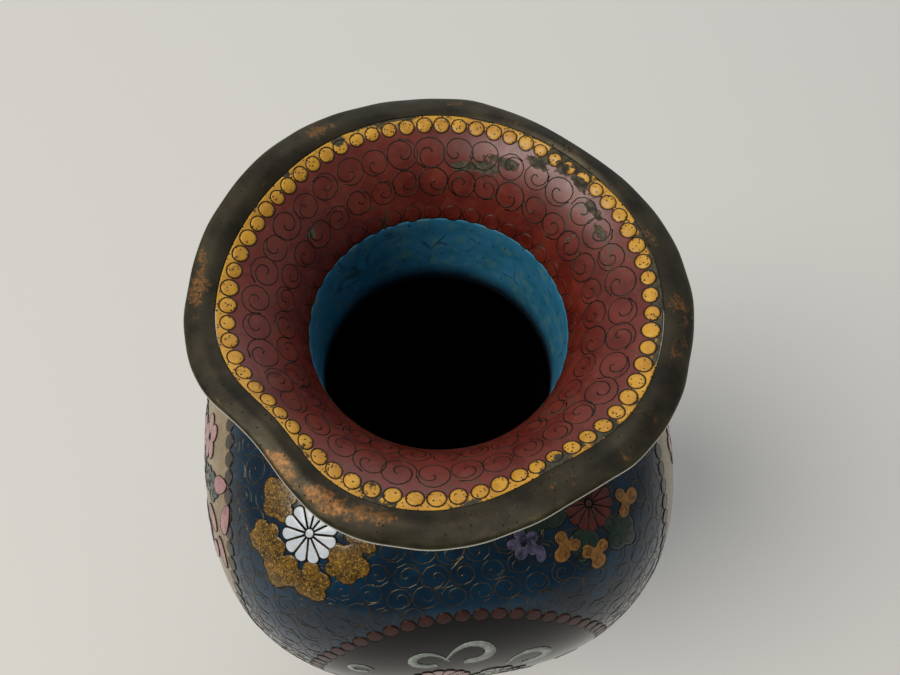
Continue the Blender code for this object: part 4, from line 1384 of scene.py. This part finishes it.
def artRibbon(path, width=None, height=None, closed=False):
    width, height = width or artLook["wire"], height or artLook["height"]
    return flatMesh("ribbon", [ribbonParts(path, width, height, closed)])


def turnedPath(path, angle):
    c, s = math.cos(angle), math.sin(angle)
    path = np.array(path, float)
    return np.stack([path[:, 0] * c - path[:, 1] * s, path[:, 0] * s + path[:, 1] * c], 1)


def petalOutline(start, radius, half, gap):
    # a wedge with a rounded end, pointing along X
    slope, bulge, least = math.tan(half), 0.8, 0.12 * mm

    def wide(r):
        return max(r * slope - gap / 2, least)

    end = radius / (1 + bulge * slope)
    half, corner = wide(end), end * 0.97
    tip = [(end + bulge * half * math.cos(t), half * math.sin(t)) for t in np.radians((-70, -35, 0, 35, 70))]
    return [(start, -wide(start)), (corner, -half), *tip, (corner, half), (start, wide(start))]


def chrysanthemum(look):
    # wedge petals round a small hub, each in its own cell of wire
    pads, wires = [], []
    start, half = look["hub"] + 0.25 * mm, math.pi / look["petals"]
    for i in range(look["petals"]):
        outline = petalOutline(start, look["radius"], half, look["gap"])
        outline = turnedPath(outline, 2 * math.pi * (i + 0.3) / look["petals"])
        pads.append(padParts(outline, artLook["pad"], artLook["dome"]))
        wires.append(ribbonParts(outline, look["gap"] * 1.25, artLook["height"], True))
    pads.append(padParts(circlePath(look["hub"], 10), artLook["pad"], artLook["dome"]))
    wires.append(ribbonParts(circlePath(look["hub"], 12), look["gap"], artLook["height"], True))
    return flatMesh("petals", pads), flatMesh("petalWires", wires)


def lobedLeaf(look):
    # a leaf of round lobes, wired round its edge, with a curl of wire in each lobe
    turn = np.arange(32) * 2 * math.pi / 32
    r, reach = look["radius"], np.full(32, 0.42 * look["radius"])
    wires = []
    for away, angle, lobe in look["lobes"]:
        off = turn - math.radians(angle)
        inside = (lobe ** 2 - (away * np.sin(off)) ** 2) * r * r
        far = away * r * np.cos(off) + np.sqrt(np.maximum(inside, 0))
        reach = np.maximum(reach, np.where(inside > 0, far, 0))
        curl = circlePath(lobe * r * 0.5, 10, start=math.radians(angle + 60))[:8]
        curl = curl + turnedPath([(away * r, 0)], math.radians(angle))
        curl[:, 0] *= look["stretch"]
        wires.append(ribbonParts(curl, artLook["wire"] * 1.4, artLook["height"] + 0.07 * mm))
    outline = np.stack([reach * np.cos(turn) * look["stretch"], reach * np.sin(turn)], 1)
    wires.append(ribbonParts(outline, artLook["wire"], artLook["height"], True))
    pad = padParts(outline, artLook["pad"], artLook["dome"])
    return flatMesh("leaf", [pad]), flatMesh("leafWires", wires)


def ovalPetal(look):
    # an oval, a little narrower at one end, with a vein
    turn = np.arange(16) * 2 * math.pi / 16
    length, width = look["length"], look["width"]
    outline = np.stack([length / 2 * np.cos(turn), width / 2 * np.sin(turn) * (1 - 0.2 * np.cos(turn))], 1)
    vein = [(-length * 0.42, 0), (0, 0.1 * width), (length * 0.2, 0)]
    pad = padParts(outline, artLook["pad"], artLook["dome"])
    wires = [ribbonParts(outline, artLook["wire"], artLook["height"], True),
             ribbonParts(vein, artLook["wire"] * 0.8, artLook["height"])]
    return flatMesh("oval", [pad]), flatMesh("ovalWires", wires)


def blossom(look):
    # five round petals and a middle dot
    pads, wires = [], []
    for i in range(5):
        outline = turnedPath(circlePath(look["petal"], 10, squash=0.85), 2 * math.pi * i / 5)
        outline = outline + turnedPath([(look["petal"] * 1.25, 0)], 2 * math.pi * i / 5)
        pads.append(padParts(outline, artLook["pad"], artLook["dome"]))
        wires.append(ribbonParts(outline, artLook["wire"], artLook["height"], True))
    wires.append(ribbonParts(circlePath(look["petal"] * 0.4, 8), artLook["wire"], artLook["height"], True))
    return flatMesh("blossom", pads), flatMesh("blossomWires", wires)


def crookPath(look):
    # a stem that bends over into an open hook
    count = look["points"]
    share = np.linspace(0, 1, count)
    bend = look["hand"] * np.radians(look["bend"])
    heading = math.radians(90) - bend * ramp(share, look["straight"], 1.15)
    step = look["length"] / (count - 1)
    path = np.cumsum(np.stack([np.cos(heading), np.sin(heading)], 1) * step, 0)
    return path - path[0]


def bandParts(path, widths, height, sink=0.06 * mm):
    # a flat-topped band of enamel along a path, narrow at the ends
    run = np.gradient(np.array(path), axis=0)
    run /= np.linalg.norm(run, axis=1)[:, None] + 1e-12
    side = np.stack([-run[:, 1], run[:, 0]], 1) * np.array(widths)[:, None] / 2
    rows = ((path + side, -sink), (path + side, height), (path - side, height), (path - side, -sink))
    vertices = [(*p, level) for points, level in rows for p in points]
    n, faces = len(path), []
    for i in range(n - 1):
        for k in range(4):
            a, b = k * n, (k + 1) % 4 * n
            faces.append((a + i + 1, a + i, b + i, b + i + 1))
    faces += [(0, n, 2 * n, 3 * n), (4 * n - 1, 3 * n - 1, 2 * n - 1, n - 1)]
    return vertices, faces


def crook(look):
    path = crookPath(look)
    share = np.linspace(0, 1, len(path))
    widths = look["width"] * (0.2 + 0.8 * ramp(share, 0.02, 0.6) - 0.3 * ramp(share, 0.9, 1.0))
    foot = ribbonParts(path[:3], artLook["wire"] * 0.5, artLook["pad"] + 0.03 * mm)
    return flatMesh("crook", [bandParts(path, widths, artLook["pad"])]), flatMesh("crookWires", [foot])


branchLook = {"reach": 14 * mm, "low": -96 * mm, "high": 24 * mm, "waves": 1.35, "twigs": 14,
              "twig": 16 * mm, "thick": 1.9 * mm, "thin": 0.8 * mm}


def branchPoint(look, share):
    # a stem that winds from side to side, more widely the higher it is
    sway = math.sin(2 * math.pi * look["waves"] * share + 0.4) * look["reach"] * (0.35 + 0.65 * share)
    return np.array([sway, look["low"] + (look["high"] - look["low"]) * share])


def twigEnds(look):
    # where each twig leaves the stem, and where it ends
    ends = []
    for i in range(look["twigs"]):
        share = 0.12 + 0.85 * i / (look["twigs"] - 1)
        side = 1 if i % 2 else -1
        start = branchPoint(look, share)
        way = np.array([side * (0.75 + 0.25 * math.sin(2.3 * i)), 0.65])
        out = way * look["twig"] * (0.3 + 0.75 * share)
        ends.append((start, start + out, side))
    return ends


def branch(look):
    path = np.array([branchPoint(look, share) for share in np.linspace(0, 1, 44)])
    bands = [bandParts(path, np.linspace(look["thick"], look["thin"], 44), 0.09 * mm)]
    wires = [ribbonParts(path, 0.2 * mm, 0.13 * mm)]
    for start, end, side in twigEnds(look):
        t = np.linspace(0, 1, 6)[:, None]
        sag = np.array([[side * 0.12, -0.1]]) * look["twig"] * np.sin(math.pi * t)
        twig = start + (end - start) * t + sag
        bands.append(bandParts(twig, np.linspace(0.9 * mm, 0.5 * mm, 6), 0.08 * mm))
        wires.append(ribbonParts(twig, 0.18 * mm, 0.12 * mm))
    return flatMesh("branch", bands), flatMesh("branchWires", wires)


def branchRows(middle, z, size, stemEnamel, bloomEnamel, leafEnamel):
    # the branch, a bloom or a leaf at each twig's end, and a leaf where each twig leaves the stem
    rows = [("branch", stemEnamel, middle, z, 0, size)]
    base = alongBody(z * mm)
    girth = girthAt(bodyCarrier, base)
    for i, (start, end, side) in enumerate(twigEnds(branchLook)):
        for place, kind in ((end, "tip"), (start + (start - end) * 0.45 * np.array([1, -0.4]), "joint")):
            azimuth = middle + place[0] * size / girth * 360
            height = float(np.interp(base + place[1] * size, bodyCarrier["along"], bodyCarrier["z"])) / mm
            if kind == "tip" and i % 3 != 1:
                rows.append(("blossom", bloomEnamel, azimuth, height, 40 * i, (1.0 + 0.045 * i) * size))
            else:
                turn = 90 - side * (50 if kind == "tip" else -60)
                rows.append(("longLeaf", leafEnamel, azimuth, height, turn, (0.75 + 0.03 * i) * size))
    return rows


crookLook = {"length": 23 * mm, "bend": 265, "straight": 0.05, "width": 2.3 * mm, "points": 20}
motifLooks = {
    "branch": (branch, branchLook),
    "whiteBloom": (chrysanthemum, {"petals": 12, "radius": 6.7 * mm, "hub": 0.95 * mm, "gap": 0.5 * mm}),
    "redBloom": (chrysanthemum, {"petals": 14, "radius": 6.2 * mm, "hub": 0.8 * mm, "gap": 0.3 * mm}),
    # lobes: distance from the middle, direction and radius, as shares of the leaf's radius
    "leaf": (lobedLeaf, {"radius": 4.7 * mm, "stretch": 1.12, "lobes": (
        (0.5, 15, 0.5), (0.6, 95, 0.4), (0.55, 170, 0.46), (0.62, 245, 0.36), (0.58, 300, 0.42))}),
    "smallLeaf": (lobedLeaf, {"radius": 3.9 * mm, "stretch": 1.1, "lobes": (
        (0.5, 10, 0.5), (0.62, 120, 0.4), (0.6, 235, 0.42))}),
    "longLeaf": (lobedLeaf, {"radius": 3.4 * mm, "stretch": 1.5, "lobes": (
        (0.55, 0, 0.42), (0.5, 80, 0.48), (0.55, 180, 0.45), (0.5, 280, 0.5))}),
    "oval": (ovalPetal, {"length": 9 * mm, "width": 4.6 * mm}),
    "blossom": (blossom, {"petal": 1.9 * mm}),
    "crookRight": (crook, dict(crookLook, hand=1)),
    "crookLeft": (crook, dict(crookLook, hand=-1)),
}

# each enamel's slot and how high it lies, so that blooms lie over leaves and leaves over stems
artLevels = {
    "brownEnamel": ("brown_enamel", 0.0), "darkBrownEnamel": ("brown_enamel", 0.0),
    "greenEnamel": ("green_enamel", 0.03 * mm), "goldstoneEnamel": ("goldstone_enamel", 0.06 * mm),
    "ochreEnamel": ("ochre_enamel", 0.06 * mm), "paleEnamel": ("pale_enamel", 0.05 * mm),
    "pinkEnamel": ("pink_enamel", 0.09 * mm), "lavenderEnamel": ("lavender_enamel", 0.06 * mm),
    "whiteEnamel": ("white_enamel", 0.1 * mm), "oxbloodEnamel": ("oxblood_enamel", 0.1 * mm),
}
# artwork: motif and enamel, then how far round from the middle in degrees, height, turn, size
whiteSprig = {
    # a white bloom in goldstone leaves
    ("whiteBloom", "whiteEnamel"): ((0, 236.1, 0, 1.0),),
    ("leaf", "goldstoneEnamel"): (
        (-13.2, 236.2, 172, 1.05), (-8.5, 230.6, 212, 1.05), (-1.6, 228.6, 255, 1.05),
        (6.2, 230.0, 300, 1.0), (12.6, 235.0, 345, 1.05), (14.6, 238.2, 15, 0.8)),
    ("oval", "darkBrownEnamel"): ((-5.0, 231.6, 60, 0.5), (4.4, 231.4, 120, 0.5)),
}
redSprig = {
    # an oxblood bloom in ochre and green leaves, with a small lavender blossom beside it
    ("redBloom", "oxbloodEnamel"): ((0, 236.7, 0, 1.0),),
    ("smallLeaf", "ochreEnamel"): ((-12.3, 234.3, 215, 0.95), (-6.4, 230.3, 255, 1.0),
                                   (8.5, 232.4, 330, 0.95)),
    ("longLeaf", "greenEnamel"): (
        (-10.0, 238.6, 170, 1.25), (2.0, 230.2, 285, 1.3), (9.0, 237.8, 10, 1.2),
        (-7.0, 233.4, 235, 1.1), (-17.0, 238.4, 150, 0.8)),
    ("blossom", "lavenderEnamel"): ((-22.4, 236.8, 20, 0.95),),
    ("oval", "lavenderEnamel"): ((-19.0, 234.9, 70, 0.5),),
}
blackPanel = {
    # a pink chrysanthemum in pale leaves and a fan of white crooks, and a smaller spray below it
    ("crookLeft", "paleEnamel"): ((-3.2, 209.2, 32, 0.95), (-19.4, 203.8, 42, 0.6),
                                  (-26, 184, 72, 0.75), (12, 166, -130, 0.8)),
    ("crookRight", "paleEnamel"): ((-4.1, 209.8, -20, 1.2), (9.5, 200.6, -20, 1.12),
                                   (22, 184, -70, 0.7), (-16, 168, 130, 0.8)),
    ("redBloom", "pinkEnamel"): ((-5.2, 194.5, 10, 1.35),),
    ("longLeaf", "paleEnamel"): ((6.5, 194.0, 25, 1.2), (-18, 192, 150, 1.2), (8, 176, -40, 1.2),
                                 (-15, 176, -140, 1.2)),
    ("redBloom", "whiteEnamel"): ((7, 160, 0, 0.85),),
    ("blossom", "ochreEnamel"): ((-12, 150, 30, 1.2),),
}
tanPanel = {
    # a blossoming branch: pink oval petals and green leaves
    ("oval", "pinkEnamel"): ((17.6, 223.4, 60, 0.95), (25.4, 222.0, 110, 0.95), (21, 214, 190, 0.9),
                             (29, 213, 330, 0.9), (26, 207, 265, 0.9)),
    ("blossom", "pinkEnamel"): ((3, 219, 10, 1.5), (-14, 214, 50, 1.35)),
    ("longLeaf", "greenEnamel"): ((12, 216, 30, 1.0), (-5, 212, 150, 1.0)),
}


def placed(art, middle):
    return [(motif, enamel, middle + away, z, turn, size)
            for (motif, enamel), places in art.items() for away, z, turn, size in places]


def makeArt():
    motifs = {name: maker(look) for name, (maker, look) in motifLooks.items()}
    names = sorted(motifs)
    rows = []
    for corner, art in (("front_left", whiteSprig), ("front_right", redSprig), ("back_right", whiteSprig),
                        ("back_left", redSprig)):
        low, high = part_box("flower_" + corner)
        rows += placed(art, math.degrees(math.atan2(low.y + high.y, low.x + high.x)))
    for side, middle, _, _, ground, _ in panelLook["sides"]:
        if ground == "blackEnamel":
            rows += placed(blackPanel, middle)
            rows += branchRows(middle - 1, 166, 0.78, "brownEnamel", "pinkEnamel", "greenEnamel")
        else:
            rows += placed(tanPanel, middle)
            rows += branchRows(middle, 188, 1.0, "darkBrownEnamel", "pinkEnamel", "greenEnamel")
    stands = {"whiteEnamel": ("flower_front_left", "flower_back_right"),
              "oxbloodEnamel": ("flower_front_right", "flower_back_left")}
    wires = []
    for enamel, (slot, level) in artLevels.items():
        spots = []
        for motif, colour, azimuth, z, turn, size in rows:
            if colour == enamel:
                height = level + (panelLook["lift"] if insidePanel(azimuth, z * mm, 0.0) else 0.0)
                spots.append((azimuth, alongBody(z * mm), height, names.index(motif), turn, size))
        pads = [motifs[name][0].copy() for name in names]
        pads = scatter("pads_" + enamel, bodyCarrier, spots, pads, enamel)
        finishPiece(addObject("art_" + enamel, pads), slot, *stands.get(enamel, ()))
        wireKind = "brightWire" if enamel == "whiteEnamel" else "tarnishedWire"
        edges = [motifs[name][1].copy() for name in names]
        wires.append(scatter("wires_" + enamel, bodyCarrier, spots, edges, wireKind))
    finishPiece(addObject("artWires", joined("artWires", wires)), "brass_wire")
    blooms = ("whiteBloom", "redBloom", "leaf", "longLeaf")
    return [(azimuth, z * mm, size) for motif, _, azimuth, z, _, size in rows if motif in blooms]


# scrolls over the ground, each next to its neighbours but none on a panel or a bloom

scrollLook = {
    "pitch": 6.5 * mm, "rowPitch": 5.9 * mm, "radius": 3.15 * mm, "points": 22, "wide": 1.35,
    "shapes": ((1.75, 0.5, 0.48, 0.08), (1.6, 0.46, 0.52, 0.16), (1.95, 0.56, 0.42, 0.03)),
    "play": 0.4 * mm, "sizes": (0.84, 1.08), "seed": 21, "clear": 1.2 * mm,
}


def scrollSpots(look, carrier, start, end, keep):
    dice = np.random.default_rng(look["seed"])
    kinds = 2 * len(look["shapes"])
    spots = []
    rows = max(round((end - start) / look["rowPitch"]), 1)
    for row in range(rows):
        along = start + (row + 0.5) / rows * (end - start)
        girth = girthAt(carrier, along)
        count = round(girth / look["pitch"])
        for i in range(count):
            play = dice.uniform(-1, 1, 2) * look["play"]
            azimuth = 360 * ((i + 0.5 * (row % 2)) / count + play[0] / girth)
            size = dice.uniform(*look["sizes"])
            turn, kind = dice.uniform(0, 360), dice.integers(kinds)
            if keep(azimuth, along + play[1]):
                spots.append((azimuth, along + play[1], 0.0, kind, turn, size))
    return spots


def makeScrolls(look, blooms):
    carrier = bodyCarrier
    footEnd = outsideLook["borderHeight"] + 2.6 * mm
    topEnd = alongBody(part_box("neck_base_wire")[0].z) - 2.4 * mm

    def keep(azimuth, along):
        z = float(np.interp(along, carrier["along"], carrier["z"]))
        if insidePanel(azimuth, z, look["clear"]):
            return False
        radius = float(np.interp(along, carrier["along"], carrier["radius"]))
        for bloomAzimuth, bloomZ, size in blooms:
            across = math.radians((azimuth - bloomAzimuth + 180) % 360 - 180) * radius
            if math.hypot(across, along - alongBody(bloomZ)) < 2.2 * mm * size:
                return False
        return True

    motifs = scrollMeshes("blueScroll", look)
    spots = scrollSpots(look, carrier, footEnd, topEnd, keep)
    print("scrolls on the body:", len(spots))
    wires = scatter("bodyScrolls", carrier, spots, motifs, "brightWire")
    finishPiece(addObject("bodyScrolls", wires), "brass_wire")
    carrier = flareCarrier
    motifs = scrollMeshes("flareScroll", look)
    spots = scrollSpots(look, carrier, 3.0 * mm, carrier["total"] - 3.0 * mm, lambda azimuth, along: True)
    wires = scatter("flareScrolls", carrier, spots, motifs, "brightWire")
    finishPiece(addObject("flareScrolls", wires), "brass_wire")


footRowLook = {"row": 4.0 * mm, "count": 38, "ring": 2.9 * mm, "dot": 1.3 * mm}


def makeFootRow(look):
    # a row of ringed dots round the foot border
    spots = [(360 * i / look["count"], look["row"], 0.0, 0, 0.0, 1.0) for i in range(look["count"])]
    dots = scatter("footDots", bodyCarrier, spots,
                   beadMeshes("footDot", look["dot"], 0.1 * mm, 0.05 * mm, 10), "ochreEnamel")
    finishPiece(addObject("footDots", dots), "ochre_enamel")
    rings = [scatter("footRings%d" % i, bodyCarrier, spots, [artRibbon(circlePath(radius, 18), closed=True)],
                     "tarnishedWire") for i, radius in enumerate((look["ring"], look["dot"]))]
    finishPiece(addObject("footRings", joined("footRings", rings)), "brass_wire")


makePanels(panelLook)
print("panels made")
blooms = makeArt()
print("art made")
makeScrolls(scrollLook, blooms)
makeFootRow(footRowLook)
print("scrolls made")

# the floor's lining takes the same near-black painted shade as the body's hollow
plainNodes = {
    "copper_mouth_flare": "oxidisedCopper", "copper_neck": "oxidisedCopper",
    "copper_body_upper": "oxidisedCopper", "copper_body_lower": "oxidisedCopper",
    "base_disc": "oxidisedCopper", "floor_lining_enamel": "shadeBlackLining",
    "base_counter_enamel": "turquoiseEnamel",
}
for name, material in plainNodes.items():
    withMaterial(frame["nodes"][name].data, material)

for carrier in (bodyCarrier, flareCarrier, mouthCarrier):
    bpy.data.objects.remove(carrier["item"])
